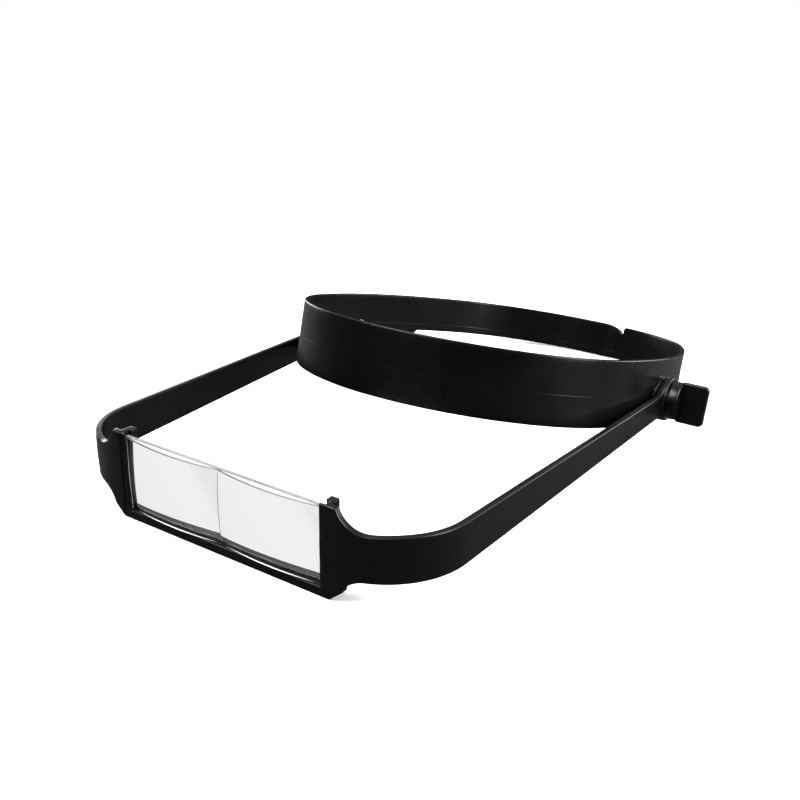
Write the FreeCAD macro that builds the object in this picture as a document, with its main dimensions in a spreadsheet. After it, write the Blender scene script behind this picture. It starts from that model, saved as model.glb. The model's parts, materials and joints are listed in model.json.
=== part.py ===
import FreeCAD, Part
import math
import os

import Sketcher
from FreeCAD import Placement, Rotation, Vector

# Head visor magnifier, millimetres.
# Two working frames are used. The visor frame has its origin at the middle of the front bar's lower front
# edge, +Y towards the wearer and +Z up along the lens posts. The band frame has its origin at the middle of
# the pivot axis and is pitched back from the visor frame. Every sub-part is drawn in one of them and is
# then placed on the table: the front bar's lower edge and the rear strap's lower edge both touch Z = 0.

SIZES = {
    # visor frame: front bar, posts and arms
    "bar_half": 45.0,          # half the front bar's length, to the posts' outer corners
    "bar_depth": 6.5,          # front to back of bar and posts
    "post_height": 32.8,
    "bend_radius": 31.5,       # outer radius from front to arm, in plan
    "arm_splay": 3.2,          # degrees that each arm opens towards the back
    "arm_wall": 2.5,
    "arm_top_front": 25.2,     # height of the arm's upper edge behind the post
    "arm_low_front": 9.0,
    "arm_top_rear": 16.4,      # the same at the pivot
    "arm_low_rear": 6.8,
    "taper_start": 10.0,       # distance from the front where the taper starts
    "sweep_start": 2.5,        # outboard of the post, where its top starts to curve down
    "sweep_reach": 10.5,       # length of that concave curve from post top to arm
    "foot_reach": 5.0,         # sloped underside outboard of the post
    "foot_rise": 4.2,
    "foot_step": 1.1,
    "foot_sweep": 7.0,
    "pivot_reach": 189.5,      # front bar to pivot axis
    "pivot_height": 12.0,
    "eye_radius": 9.5,
    "eye_wall": 3.3,
    "eye_flat": 13.0,          # straight part of the arm in front of the pivot
    "flare_start": 12.0,       # where the arm widens to the eye
    "flare_angle": 55.0,       # where that taper meets the eye's circle
    # lens channel
    "lip_wall": 1.2,           # wall in front of the lens plate
    "lip_cover": 1.6,          # how far each post's lip covers the plate
    "channel_floor": 1.6,
    "bar_lip": 3.5,            # height of the bar's front lip
    "bar_back": 4.8,           # height of the bar's rear wall
    "channel_gap": 0.15,       # clearance round the plate
    "edge_gap": 0.3,           # clearance between the lenses and the frame's edges
    # lens plate
    "plate_wall": 2.2,
    "plate_half": 43.2,
    "plate_height": 29.4,
    "lens_radius": 107.0,      # spherical front of each lens
    "lens_rise": 2.85,         # its height over the plate's face
    # headband, in the band frame
    "band_wall": 2.0,
    "turn_a": 78.0,            # degrees that the forehead arc turns on each side
    "side_radius": 198.0,      # middle of the wall
    "side_angle": 35.9,        # degrees that each side arc turns
    "band_reach": 101.6,       # pivot axis to the forehead
    "band_top": 16.8,
    "band_low": 10.8,
    "strap_low": 1.7,
    "strap_start": 45.0,       # where the wide band narrows to the strap
    "strap_round": 4.0,        # both rounded corners of that step
    "band_pitch": 14.5,        # degrees that the band leans back against the visor
    # rear closure
    "joggle_ramp": 6.5,        # degrees from the rear middle
    "joggle_start": 10.5,
    "joggle_end": 14.0,
    "tail_end": 42.0,
    "inner_tail_end": 17.0,
    "tongue_drop": 3.8,        # the outer tail is lower than the band by this
    "shoulder_start": 7.0,     # rounded shoulder from the band's top down to the tail
    "shoulder_length": 10.5,
    "layer_gap": 0.3,
    "snap_radius": 1.9,
    "snap_clearance": 0.2,
    "snap_depth": 1.1,
    "snap_start": 24.0,        # degrees from the rear middle to the first socket
    "snap_pitch": 7.0,         # degrees between sockets
    "snap_height": 5.5,
    # pivots
    "boss_radius": 9.0,
    "boss_rise": 1.4,
    "stud_radius": 1.95,
    "stud_clearance": 0.05,
    "nut_flats": 7.0,
    "nut_wall": 2.2,
    "nut_clearance": 0.05,
    "friction_washer_radius": 7.5,
    "friction_washer_wall": 0.7,
    "flat_washer_radius": 6.0,
    "flat_washer_wall": 0.8,
    "face_gap": 0.05,
    "hub_radius": 8.3,
    "hub_length": 4.0,
    "hub_chamfer": 0.8,
    "wing_half": 8.7,
    "wing_wall": 3.0,
    "wing_length": 10.6,
    "wing_round": 2.0,
    "wing_turn": 14.0,         # degrees that the wing leans at rest
    "stud_in_hub": 3.0,
}

# Values worked out from the ones above, in the order in which they need each other.
DERIVED = {
    "bend_end_x": "bar_half + bend_radius * cos(arm_splay)",
    "bend_end_y": "bend_radius * (1 - sin(arm_splay))",
    "inner_radius": "bend_radius - arm_wall",
    "inner_end_x": "bar_half + inner_radius * cos(arm_splay)",
    "inner_end_y": "bend_radius - inner_radius * sin(arm_splay)",
    "flat_start": "pivot_reach - eye_flat",
    "arm_x": "bend_end_x + (flat_start - bend_end_y) * tan(arm_splay)",
    "arm_inner_x": "arm_x - arm_wall",
    "arm_end": "pivot_reach + eye_radius",
    "taper_part": "(pivot_reach - flare_start - taper_start) / (pivot_reach - taper_start)",
    "arm_top_flare": "arm_top_front + (arm_top_rear - arm_top_front) * taper_part",
    "arm_low_flare": "arm_low_front + (arm_low_rear - arm_low_front) * taper_part",
    "sweep_drop": "post_height - arm_top_front",
    "sweep_radius": "(sweep_reach ^ 2 + sweep_drop ^ 2) / (2 * sweep_drop)",
    "foot_lift": "arm_low_front - foot_rise - foot_step",
    "foot_radius": "(foot_sweep ^ 2 + foot_lift ^ 2) / (2 * foot_lift)",
    "channel_half": "plate_half + channel_gap",
    "window_half": "plate_half - lip_cover",
    "channel_front": "lip_wall",
    "channel_back": "lip_wall + plate_wall + 2 * channel_gap",
    "plate_front": "lip_wall + channel_gap",
    "plate_low": "channel_floor + channel_gap",
    "plate_top": "plate_low + plate_height",
    "lens_width": "window_half - edge_gap",
    "lens_low": "bar_lip + edge_gap",
    "lens_height": "plate_top - lens_low",
    "bore_radius": "stud_radius + stud_clearance",
    "boss_face": "arm_inner_x - friction_washer_wall - 2 * face_gap",
    "band_half": "boss_face - boss_rise - band_wall / 2",
    "front_radius": "side_radius - (side_radius - band_half) / sin(turn_a)",
    "front_cy": "front_radius - band_reach",
    "turn_b": "turn_a + side_angle",
    "side_cx": "band_half - side_radius",
    "side_cy": "front_cy - (front_radius - side_radius) * cos(turn_a)",
    "rear_radius": "side_radius + side_cx / sin(turn_b)",
    "rear_cy": "side_cy - (side_radius - rear_radius) * cos(turn_b)",
    "half_wall": "band_wall / 2",
    "shoulder_radius": "(shoulder_length ^ 2 + tongue_drop ^ 2) / (2 * tongue_drop)",
    "tail_low": "rear_radius + half_wall + layer_gap",
    "tail_high": "tail_low + band_wall",
    "nut_seat": "band_half - half_wall + nut_wall + nut_clearance",
    "washer_face": "arm_inner_x + eye_wall + face_gap",
    "hub_face": "washer_face + flat_washer_wall + face_gap",
    "wing_face": "hub_face + hub_length",
    "stud_inner": "band_half - half_wall",
    "stud_outer": "hub_face + stud_in_hub",
    "rear_foot": "rear_cy + tail_high * cos(joggle_start)",
    "rear_foot_y": "pivot_reach + rear_foot * cos(band_pitch) - strap_low * sin(band_pitch)",
    "rear_foot_z": "pivot_height - rear_foot * sin(band_pitch) - strap_low * cos(band_pitch)",
    "rest_tilt": "atan(-rear_foot_z / rear_foot_y) / 1 deg",
}

doc = FreeCAD.newDocument("head_visor_magnifier")
sheet = doc.addObject("Spreadsheet::Sheet", "sizes")


def fill_sheet():
    """Write driving sizes as plain numbers and derived ones as formulas, each with its alias."""
    rows = [(alias, str(value)) for alias, value in SIZES.items()]
    rows += [(alias, "=" + formula) for alias, formula in DERIVED.items()]
    for row, (alias, content) in enumerate(rows, start=1):
        cell = "B%d" % row
        sheet.set("A%d" % row, alias)
        sheet.set(cell, content)
        sheet.setAlias(cell, alias)
    doc.recompute()


def tied(formula):
    """The formula with every alias read from the sheet, as other objects must write it."""
    words = []
    word = ""
    for letter in formula + " ":
        if letter.isalnum() or letter == "_":
            word += letter
            continue
        if word in SIZES or word in DERIVED:
            word = "sizes." + word
        words.append(word + letter)
        word = ""
    return "".join(words).strip()


def size(formula):
    """The formula's present value."""
    return float(sheet.evalExpression(tied(formula)))


# ---------------------------------------------------------------- drawing helpers

def new_body(name):
    body = doc.addObject("PartDesign::Body", name)
    body.Label = name
    return body


def new_sketch(body, name, role, offset=None):
    """An empty sketch on one of the body's own planes, moved along the plane's normal by offset."""
    sketch = body.newObject("Sketcher::SketchObject", name)
    plane = next(item for item in body.Origin.OriginFeatures if item.Role == role)
    sketch.AttachmentSupport = [(plane, "")]
    sketch.MapMode = "FlatFace"
    if offset:
        sketch.setExpression("AttachmentOffset.Base.z", tied(offset))
    return sketch


def pin(sketch, kind, arguments, formula, name):
    """Add one driving constraint whose value is bound to the sheet."""
    index = sketch.addConstraint(Sketcher.Constraint(kind, *arguments, size(formula)))
    sketch.renameConstraint(index, name)
    sketch.setExpression("Constraints." + name, tied(formula))


def arc_through(start, end, radius, side):
    """Arc from start to end with its centre on the left (side 1) or right (side -1) of the chord."""
    chord = end - start
    half = chord.Length / 2
    normal = Vector(-chord.y, chord.x, 0).normalize()
    centre = (start + end) / 2 + normal * (side * math.sqrt(radius ** 2 - half ** 2))
    first, last = (start, end) if side > 0 else (end, start)
    angles = [math.atan2(point.y - centre.y, point.x - centre.x) for point in (first, last)]
    return Part.ArcOfCircle(Part.Circle(centre, Vector(0, 0, 1), radius), *angles)


def outline(sketch, corners, arcs=None, tag="c"):
    """A closed outline. corners are (x, y) formulas; arcs maps a corner's number to the (radius, side)
    of the arc that leaves it. All corners and radii are bound to the sheet."""
    arcs = arcs or {}
    points = [Vector(size(x), size(y), 0) for x, y in corners]
    ends = []
    for number, start in enumerate(points):
        end = points[(number + 1) % len(points)]
        if number in arcs:
            radius, side = arcs[number]
            curve = sketch.addGeometry(arc_through(start, end, size(radius), side), False)
            pin(sketch, "Radius", (curve,), radius, "%s%dr" % (tag, number))
            ends.append((curve, 1, 2) if side > 0 else (curve, 2, 1))
        else:
            ends.append((sketch.addGeometry(Part.LineSegment(start, end), False), 1, 2))
    for number, (x, y) in enumerate(corners):
        curve, first, _ = ends[number]
        before, _, last = ends[number - 1]
        sketch.addConstraint(Sketcher.Constraint("Coincident", before, last, curve, first))
        pin(sketch, "DistanceX", (-1, 1, curve, first), x, "%s%dx" % (tag, number))
        pin(sketch, "DistanceY", (-1, 1, curve, first), y, "%s%dy" % (tag, number))


def rectangle(sketch, low, high, tag="c"):
    corners = [(low[0], low[1]), (high[0], low[1]), (high[0], high[1]), (low[0], high[1])]
    outline(sketch, corners, tag=tag)


def circle(sketch, centre, radius, tag="o"):
    middle = Vector(size(centre[0]), size(centre[1]), 0)
    curve = sketch.addGeometry(Part.Circle(middle, Vector(0, 0, 1), size(radius)), False)
    pin(sketch, "Radius", (curve,), radius, tag + "r")
    pin(sketch, "DistanceX", (-1, 1, curve, 3), centre[0], tag + "x")
    pin(sketch, "DistanceY", (-1, 1, curve, 3), centre[1], tag + "y")


def volume(body):
    doc.recompute()
    return body.Shape.Volume if body.Tip else 0.0


def pad(body, sketch, name, length, reverse=False):
    """Raise the sketch by length along its plane's normal, or against it."""
    before = volume(body)
    feature = body.newObject("PartDesign::Pad", name)
    feature.Profile = sketch
    feature.setExpression("Length", tied(length))
    feature.Reversed = reverse
    if volume(body) <= before:
        raise RuntimeError(name + " adds nothing")
    return feature


def pocket(body, sketch, name, length=None, reverse=False):
    """Cut the sketch to a depth, or through everything both ways when no length is given."""
    before = volume(body)
    feature = body.newObject("PartDesign::Pocket", name)
    feature.Profile = sketch
    if length:
        feature.setExpression("Length", tied(length))
        feature.Reversed = reverse
    else:
        feature.Type = "ThroughAll"
        feature.Midplane = True
    if volume(body) >= before:
        raise RuntimeError(name + " cuts nothing")
    return feature


def signed(side, formula):
    """The formula for the right-hand side (1), or its negative for the left (-1)."""
    return formula if side > 0 else "-(" + formula + ")"


SIDES = (("right", 1), ("left", -1))
fill_sheet()


# ---------------------------------------------------------------- visor frame

def build_visor_frame():
    """One moulding: front bar and posts with the lens channel, two bends, two tapered arms with eyes."""
    body = new_body("visor_frame")
    plan = new_sketch(body, "visor_plan", "XY_Plane")
    right = [
        ("bar_half", "0"),
        ("bend_end_x", "bend_end_y"),
        ("arm_x", "flat_start"),
        ("arm_x", "arm_end"),
        ("arm_inner_x", "arm_end"),
        ("arm_inner_x", "flat_start"),
        ("inner_end_x", "inner_end_y"),
        ("bar_half", "arm_wall"),
        ("bar_half", "bar_depth"),
    ]
    left = [("-" + x, y) for x, y in reversed(right)]
    arcs = {0: ("bend_radius", 1), 6: ("inner_radius", -1), 10: ("inner_radius", -1), 16: ("bend_radius", 1)}
    outline(plan, right + left, arcs)
    pad(body, plan, "visor_pad", "post_height")

    window = new_sketch(body, "window", "XZ_Plane")
    rectangle(window, ("-window_half", "bar_back"), ("window_half", "post_height + 1"))
    pocket(body, window, "window_cut")
    lip = new_sketch(body, "bar_lip_line", "XZ_Plane")
    rectangle(lip, ("-window_half", "bar_lip"), ("window_half", "bar_back + 1"))
    pocket(body, lip, "bar_lip_cut", "channel_front")
    channel = new_sketch(body, "channel", "XY_Plane", "channel_floor")
    rectangle(channel, ("-channel_half", "channel_front"), ("channel_half", "channel_back"))
    pocket(body, channel, "channel_cut", "post_height", reverse=True)

    for name, side in SIDES:
        sweep = new_sketch(body, name + "_sweep", "XZ_Plane")
        x = [signed(side, text) for text in
             ("bar_half + sweep_start", "bar_half + sweep_start + sweep_reach", "arm_x")]
        corners = [(x[0], "post_height + 1"), (x[0], "post_height"), (x[1], "arm_top_front"),
                   (x[2], "arm_top_front"), (x[2], "post_height + 1")]
        outline(sweep, corners, {1: ("sweep_radius", side)})
        pocket(body, sweep, name + "_sweep_cut", "taper_start")
        foot = new_sketch(body, name + "_foot", "XZ_Plane")
        x = [signed(side, text) for text in
             ("bar_half", "bar_half + foot_reach", "bar_half + foot_reach + foot_sweep", "arm_x")]
        corners = [(x[0], "-1"), (x[0], "0"), (x[1], "foot_rise"), (x[1], "foot_rise + foot_step"),
                   (x[2], "arm_low_front"), (x[3], "arm_low_front"), (x[3], "-1")]
        outline(foot, corners, {3: ("foot_radius", -side)})
        pocket(body, foot, name + "_foot_cut", "taper_start")

    for name, up, edge_front, edge_rear, limit in (
            ("upper", 1, "arm_top_front", "arm_top_flare", "post_height + 1"),
            ("lower", -1, "arm_low_front", "arm_low_flare", "-1")):
        sign = "+" if up > 0 else "-"
        taper = new_sketch(body, name + "_taper", "YZ_Plane")
        corners = [
            ("taper_start", limit),
            ("taper_start", edge_front),
            ("pivot_reach - flare_start", edge_rear),
            ("pivot_reach - eye_radius * cos(flare_angle)",
             "pivot_height " + sign + " eye_radius * sin(flare_angle)"),
            ("arm_end", "pivot_height"),
            ("arm_end + 1", "pivot_height"),
            ("arm_end + 1", limit),
        ]
        outline(taper, corners, {3: ("eye_radius", -up)})
        pocket(body, taper, name + "_taper_cut")

    for name, side in SIDES:
        disc = new_sketch(body, name + "_eye", "YZ_Plane", signed(side, "arm_inner_x"))
        circle(disc, ("pivot_reach", "pivot_height"), "eye_radius")
        pad(body, disc, name + "_eye_pad", "eye_wall", reverse=side < 0)
    bores = new_sketch(body, "eye_bores", "YZ_Plane")
    circle(bores, ("pivot_reach", "pivot_height"), "bore_radius")
    pocket(body, bores, "eye_bore_cut")
    return body


# ---------------------------------------------------------------- lens plate

def build_lens_plate():
    """Clear plate with two lenses side by side: each has a spherical front and meets at a middle seam."""
    parts = [add_box("plate_base", "-plate_half", "plate_front", "plate_low",
                     "2 * plate_half", "plate_wall", "plate_height")]
    for name, side in SIDES:
        cell = add_box(name + "_lens_cell", "0" if side > 0 else "-lens_width",
                       "plate_front - lens_rise - 1", "lens_low",
                       "lens_width", "lens_rise + 2", "lens_height")
        ball = doc.addObject("Part::Sphere", name + "_lens_ball")
        ball.setExpression("Radius", tied("lens_radius"))
        ball.setExpression("Placement.Base.x", tied(signed(side, "lens_width / 2")))
        ball.setExpression("Placement.Base.y", tied("plate_front - lens_rise + lens_radius"))
        ball.setExpression("Placement.Base.z", tied("lens_low + lens_height / 2"))
        lens = doc.addObject("Part::Common", name + "_lens")
        lens.Base = cell
        lens.Tool = ball
        parts.append(lens)
    plate = doc.addObject("Part::MultiFuse", "lens_plate")
    plate.Label = "lens_plate"
    plate.Shapes = parts
    plate.Refine = True
    return plate


def add_box(name, x, y, z, length, width, height):
    box = doc.addObject("Part::Box", name)
    for prop, formula in (("Length", length), ("Width", width), ("Height", height),
                          ("Placement.Base.x", x), ("Placement.Base.y", y), ("Placement.Base.z", z)):
        box.setExpression(prop, tied(formula))
    return box


# ---------------------------------------------------------------- headband

def oval(sketch, offset, tag):
    """The band's closed oval at an offset from the middle of its wall: forehead, side, rear, side arcs."""
    front, side, rear = ["%s + %s" % (radius, offset)
                         for radius in ("front_radius", "side_radius", "rear_radius")]
    front_x = "(%s) * sin(turn_a)" % front
    front_y = "front_cy - (%s) * cos(turn_a)" % front
    rear_x = "(%s) * sin(turn_b)" % rear
    rear_y = "rear_cy - (%s) * cos(turn_b)" % rear
    corners = [("-" + front_x, front_y), (front_x, front_y), (rear_x, rear_y), ("-" + rear_x, rear_y)]
    outline(sketch, corners, {0: (front, 1), 1: (side, 1), 2: (rear, 1), 3: (side, 1)}, tag)


def at_rear(radius, angle):
    """Point of the rear arc's circle at an angle from the rear middle, positive towards the right."""
    return ("(%s) * sin(%s)" % (radius, angle), "rear_cy + (%s) * cos(%s)" % (radius, angle))


def build_headband():
    """One moulded strip: wide at the forehead and temples, narrow at the back, where the left tail laps
    over the right one and two studs snap into its sockets. A round boss on each side takes the pivot."""
    body = new_body("headband")
    plan = new_sketch(body, "band_plan", "XY_Plane", "-band_low")
    oval(plan, "half_wall", "a")
    oval(plan, "-half_wall", "b")
    pad(body, plan, "band_pad", "band_low + band_top")

    gap = new_sketch(body, "tail_gap", "XY_Plane", "-band_low - 1")
    inner, outer = "rear_radius - half_wall - 2", "rear_radius + half_wall + 2"
    corners = [at_rear(inner, "joggle_end"), at_rear(outer, "joggle_end"),
               at_rear(outer, "inner_tail_end"), at_rear(inner, "inner_tail_end")]
    outline(gap, corners)
    pocket(body, gap, "tail_gap_cut", "band_low + band_top + 2", reverse=True)

    tail = new_sketch(body, "outer_tail", "XY_Plane", "-strap_low")
    inside = "rear_radius - half_wall"
    corners = [at_rear(inside, "joggle_start"), at_rear("rear_radius + half_wall", "joggle_ramp"),
               at_rear("tail_high", "joggle_start"), at_rear("tail_high", "tail_end"),
               at_rear("tail_low", "tail_end"), at_rear("tail_low", "joggle_end"),
               at_rear(inside, "joggle_end")]
    outline(tail, corners, {2: ("tail_high", -1), 4: ("tail_low", 1), 6: (inside, 1)})
    pad(body, tail, "outer_tail_pad", "strap_low + band_top - tongue_drop")
    shoulder = new_sketch(body, "shoulder", "XZ_Plane")
    x = ["shoulder_start", "shoulder_start + shoulder_length"]
    corners = [(x[0], "band_top + 1"), (x[0], "band_top"), (x[1], "band_top - tongue_drop"),
               (x[1], "band_top + 1")]
    outline(shoulder, corners, {1: ("shoulder_radius", -1)})
    pocket(body, shoulder, "shoulder_cut", "rear_cy + tail_high + 1")

    narrow = new_sketch(body, "strap_line", "YZ_Plane")
    corners = [
        ("strap_start - strap_round", "-band_low - 1"),
        ("strap_start - strap_round", "-band_low"),
        ("strap_start", "-band_low + strap_round"),
        ("strap_start", "-strap_low - strap_round"),
        ("strap_start + strap_round", "-strap_low"),
        ("rear_cy + tail_high + 5", "-strap_low"),
        ("rear_cy + tail_high + 5", "-band_low - 1"),
    ]
    outline(narrow, corners, {1: ("strap_round", 1), 3: ("strap_round", -1)})
    pocket(body, narrow, "strap_cut")

    outer = "rear_radius + half_wall"
    for number in range(5):
        angle = "snap_start + %d * snap_pitch" % number
        radial_cylinder(body, "SubtractiveCylinder", "socket_%d" % (number + 1), angle,
                        outer + " + layer_gap / 2", "snap_radius + snap_clearance",
                        "snap_depth + layer_gap / 2")
    for number in range(2):
        angle = "snap_start + %d * snap_pitch" % number
        radial_cylinder(body, "AdditiveCylinder", "snap_stud_%d" % (number + 1), angle,
                        "tail_low + half_wall", "snap_radius",
                        "half_wall + layer_gap + snap_depth - snap_clearance")

    for name, side in SIDES:
        boss = new_sketch(body, name + "_boss", "YZ_Plane", signed(side, "band_half - half_wall / 2"))
        circle(boss, ("0", "0"), "boss_radius")
        pad(body, boss, name + "_boss_pad", "boss_rise + half_wall * 1.5", reverse=side < 0)
        seat = new_sketch(body, name + "_nut_seat", "YZ_Plane", signed(side, "nut_seat"))
        hexagon(seat, "nut_flats / 2 + nut_clearance")
        pocket(body, seat, name + "_nut_seat_cut", "nut_wall + band_wall * 2", reverse=side < 0)
    bores = new_sketch(body, "boss_bores", "YZ_Plane")
    circle(bores, ("0", "0"), "bore_radius")
    pocket(body, bores, "boss_bore_cut")
    return body


def radial_cylinder(body, kind, name, angle, start, radius, length):
    """A cylinder pointing at the rear arc's centre from a start radius, at an angle from the rear middle."""
    before = volume(body)
    cylinder = body.newObject("PartDesign::" + kind, name)
    plane = next(item for item in body.Origin.OriginFeatures if item.Role == "XZ_Plane")
    cylinder.AttachmentSupport = [(plane, "")]
    cylinder.MapMode = "FlatFace"
    cylinder.AttachmentOffset = Placement(Vector(), Rotation(Vector(0, 1, 0), -size(angle)))
    x, y = at_rear(start, angle)
    for prop, formula in (("Radius", radius), ("Height", length), ("AttachmentOffset.Base.x", x),
                          ("AttachmentOffset.Base.y", "snap_height"),
                          ("AttachmentOffset.Base.z", "-(%s)" % y)):
        cylinder.setExpression(prop, tied(formula))
    if abs(volume(body) - before) < 1:
        raise RuntimeError(name + " changes nothing")


def hexagon(sketch, apothem):
    """A hexagon about the pivot axis, with a corner upwards."""
    radius = "(%s) / cos(30)" % apothem
    corners = [("(%s) * sin(%d)" % (radius, turn), "(%s) * cos(%d)" % (radius, turn))
               for turn in range(0, 360, 60)]
    outline(sketch, corners)


# ---------------------------------------------------------------- pivots

def build_washer(name, side, start, wall, radius):
    body = new_body(name)
    face = new_sketch(body, name + "_face", "YZ_Plane", signed(side, start))
    circle(face, ("0", "0"), radius, "o")
    circle(face, ("0", "0"), "bore_radius", "i")
    pad(body, face, name + "_pad", wall, reverse=side < 0)
    return body


def build_nut(name, side):
    body = new_body(name)
    face = new_sketch(body, name + "_face", "YZ_Plane", signed(side, "nut_seat - nut_clearance"))
    hexagon(face, "nut_flats / 2")
    circle(face, ("0", "0"), "bore_radius", "i")
    pad(body, face, name + "_pad", "nut_wall", reverse=side > 0)
    return body


def build_stud(name, side):
    """Threaded stud, moulded into the knob: its start is the nut's inner face."""
    stud = doc.addObject("Part::Cylinder", name)
    stud.Label = name
    stud.setExpression("Radius", tied("stud_radius"))
    stud.setExpression("Height", tied("stud_outer - stud_inner"))
    stud.Placement.Rotation = Rotation(Vector(0, 1, 0), 90)
    stud.setExpression("Placement.Base.x", tied("stud_inner" if side > 0 else "-stud_outer"))
    return stud


def build_knob(name, side):
    """Thumb knob: a round hub with a flat wing across its end and a blind hole for the stud."""
    body = new_body(name)
    hub = new_sketch(body, name + "_hub", "YZ_Plane", signed(side, "hub_face"))
    circle(hub, ("0", "0"), "hub_radius")
    round_hub = pad(body, hub, name + "_hub_pad", "hub_length", reverse=side < 0)
    far_end = side * size("wing_face")
    rims = ["Edge%d" % number for number, edge in enumerate(round_hub.Shape.Edges, start=1)
            if edge.Closed and abs(edge.CenterOfMass.x - far_end) < 0.01]
    chamfer = body.newObject("PartDesign::Chamfer", name + "_hub_chamfer")
    chamfer.Base = (round_hub, rims)
    chamfer.setExpression("Size", "sizes.hub_chamfer")
    wing = new_sketch(body, name + "_wing", "XZ_Plane", "-wing_wall / 2")
    near, far = signed(side, "wing_face - 1"), signed(side, "wing_face + wing_length")
    corner = signed(side, "wing_face + wing_length - wing_round")
    corners = [(near, "-wing_half"), (corner, "-wing_half"), (far, "-wing_half + wing_round"),
               (far, "wing_half - wing_round"), (corner, "wing_half"), (near, "wing_half")]
    outline(wing, corners, {1: ("wing_round", side), 3: ("wing_round", side)})
    pad(body, wing, name + "_wing_pad", "wing_wall")
    hole = new_sketch(body, name + "_hole", "YZ_Plane", signed(side, "hub_face"))
    circle(hole, ("0", "0"), "stud_radius")
    pocket(body, hole, name + "_hole_cut", "stud_in_hub", reverse=side > 0)
    return body


# ---------------------------------------------------------------- building and placing

def build_all():
    """Every sub-part with the frame in which it is drawn."""
    parts = [(build_visor_frame(), "visor"), (build_lens_plate(), "visor"), (build_headband(), "band")]
    for name, side in SIDES:
        parts += [
            (build_washer("friction_washer_" + name, side, "boss_face + face_gap",
                          "friction_washer_wall", "friction_washer_radius"), "band"),
            (build_washer("flat_washer_" + name, side, "washer_face", "flat_washer_wall",
                          "flat_washer_radius"), "band"),
            (build_nut("nut_" + name, side), "band"),
            (build_stud("stud_" + name, side), "knob"),
            (build_knob("knob_" + name, side), "knob"),
        ]
    doc.recompute()
    return parts


def turned(degrees, base=Vector()):
    return Placement(base, Rotation(Vector(1, 0, 0), degrees))


def place(parts):
    """Tilt everything so that bar and strap rest on the table, then centre it over the origin."""
    visor = turned(size("rest_tilt"))
    pivot = Vector(0, size("pivot_reach"), size("pivot_height"))
    frames = {"visor": visor, "band": visor * turned(-size("band_pitch"), pivot),
              "knob": visor * turned(-size("wing_turn"), pivot)}
    starts = [(part, part.Placement, frames[frame]) for part, frame in parts]
    for part, start, frame in starts:
        part.Placement = frame * start
    doc.recompute()
    box = FreeCAD.BoundBox()
    for part, _ in parts:
        box.add(part.Shape.optimalBoundingBox(False))
    shift = Vector(-box.Center.x, -box.Center.y, -box.ZMin)
    for part, _ in parts:
        part.Placement.Base += shift
    doc.recompute()
    print("visor frame origin", shift, "rest tilt", size("rest_tilt"))
    print("pivot", visor.multVec(pivot) + shift)
    print("box", box.XLength, box.YLength, box.ZLength)


def check_and_export(parts):
    """Stop on any broken object, then write one STEP file for each sub-part."""
    for item in doc.Objects:
        if "Invalid" in item.State or "Error" in item.State:
            raise RuntimeError("%s: %s" % (item.Name, item.State))
    for part, _ in parts:
        if part.Shape.isNull() or not part.Shape.isValid():
            raise RuntimeError("bad shape: " + part.Label)
    os.makedirs("parts", exist_ok=True)
    for part, _ in parts:
        part.Shape.exportStep("parts/%s.step" % part.Label)
        print("%-24s %10.1f mm3, %d solid(s)" % (part.Label, part.Shape.Volume, len(part.Shape.Solids)))


all_parts = build_all()
place(all_parts)
check_and_export(all_parts)
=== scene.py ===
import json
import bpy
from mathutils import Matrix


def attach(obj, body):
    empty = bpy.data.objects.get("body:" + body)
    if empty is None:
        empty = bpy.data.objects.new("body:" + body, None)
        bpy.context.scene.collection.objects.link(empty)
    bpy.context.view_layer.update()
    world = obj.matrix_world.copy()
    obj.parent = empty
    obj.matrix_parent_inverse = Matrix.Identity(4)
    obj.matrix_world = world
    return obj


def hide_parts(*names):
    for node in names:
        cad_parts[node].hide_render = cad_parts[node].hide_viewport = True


bl_info = {
    "name": "Head Visor Magnifier",
    "version": (1, 0, 0),
    "blender": (4, 5, 0),
    "location": "View3D > Sidebar > Visor",
    "description": "Builds the detailed pieces and finishes of a head visor magnifier round its CAD frame",
    "category": "Add Mesh",
}

from math import atan2, cos, pi, radians, sin

import bpy
import numpy as np
from bpy.props import FloatProperty, FloatVectorProperty, IntProperty, PointerProperty
from mathutils import Euler, Vector

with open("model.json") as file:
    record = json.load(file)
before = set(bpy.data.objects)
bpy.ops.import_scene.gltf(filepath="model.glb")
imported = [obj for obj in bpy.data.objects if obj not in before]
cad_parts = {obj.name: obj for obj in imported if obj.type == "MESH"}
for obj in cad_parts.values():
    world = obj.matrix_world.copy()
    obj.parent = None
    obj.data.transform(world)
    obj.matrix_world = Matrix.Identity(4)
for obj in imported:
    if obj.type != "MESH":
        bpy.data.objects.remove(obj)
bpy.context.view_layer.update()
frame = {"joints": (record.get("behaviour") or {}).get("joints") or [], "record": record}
MM = 0.001
SIDES = (("right", 1), ("left", -1))

# The two working frames come from the record: the visor's up is the way the lens plate slides, and the
# band's up is the axis of the opening for the head. Both turn about the pivots.
JOINTS = {joint["name"]: joint for joint in frame["joints"]}
MOUNTS = {mount["name"]: mount for mount in frame["record"]["mounts"]}
PIVOT = np.array(JOINTS["visor_tilt"]["pos_m"])
VISOR_UP = np.array(JOINTS["lens_slide"]["axis"])
BAND_UP = np.array(MOUNTS["head_opening"]["axis"])


# ---------------------------------------------------------------- sizes and colours

def length(name, default_mm, description):
    return FloatProperty(name=name, description=description, default=default_mm * MM, min=0.0,
                         unit="LENGTH", precision=5)


def angle(name, default_degrees, description):
    return FloatProperty(name=name, description=description, default=radians(default_degrees),
                         unit="ROTATION")


def colour(name, default, description):
    return FloatVectorProperty(name=name, description=description, default=default, size=4,
                               min=0.0, max=1.0, subtype="COLOR")


def factor(name, default, description):
    return FloatProperty(name=name, description=description, default=default, min=0.0, max=1.0,
                         subtype="FACTOR")


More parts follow.
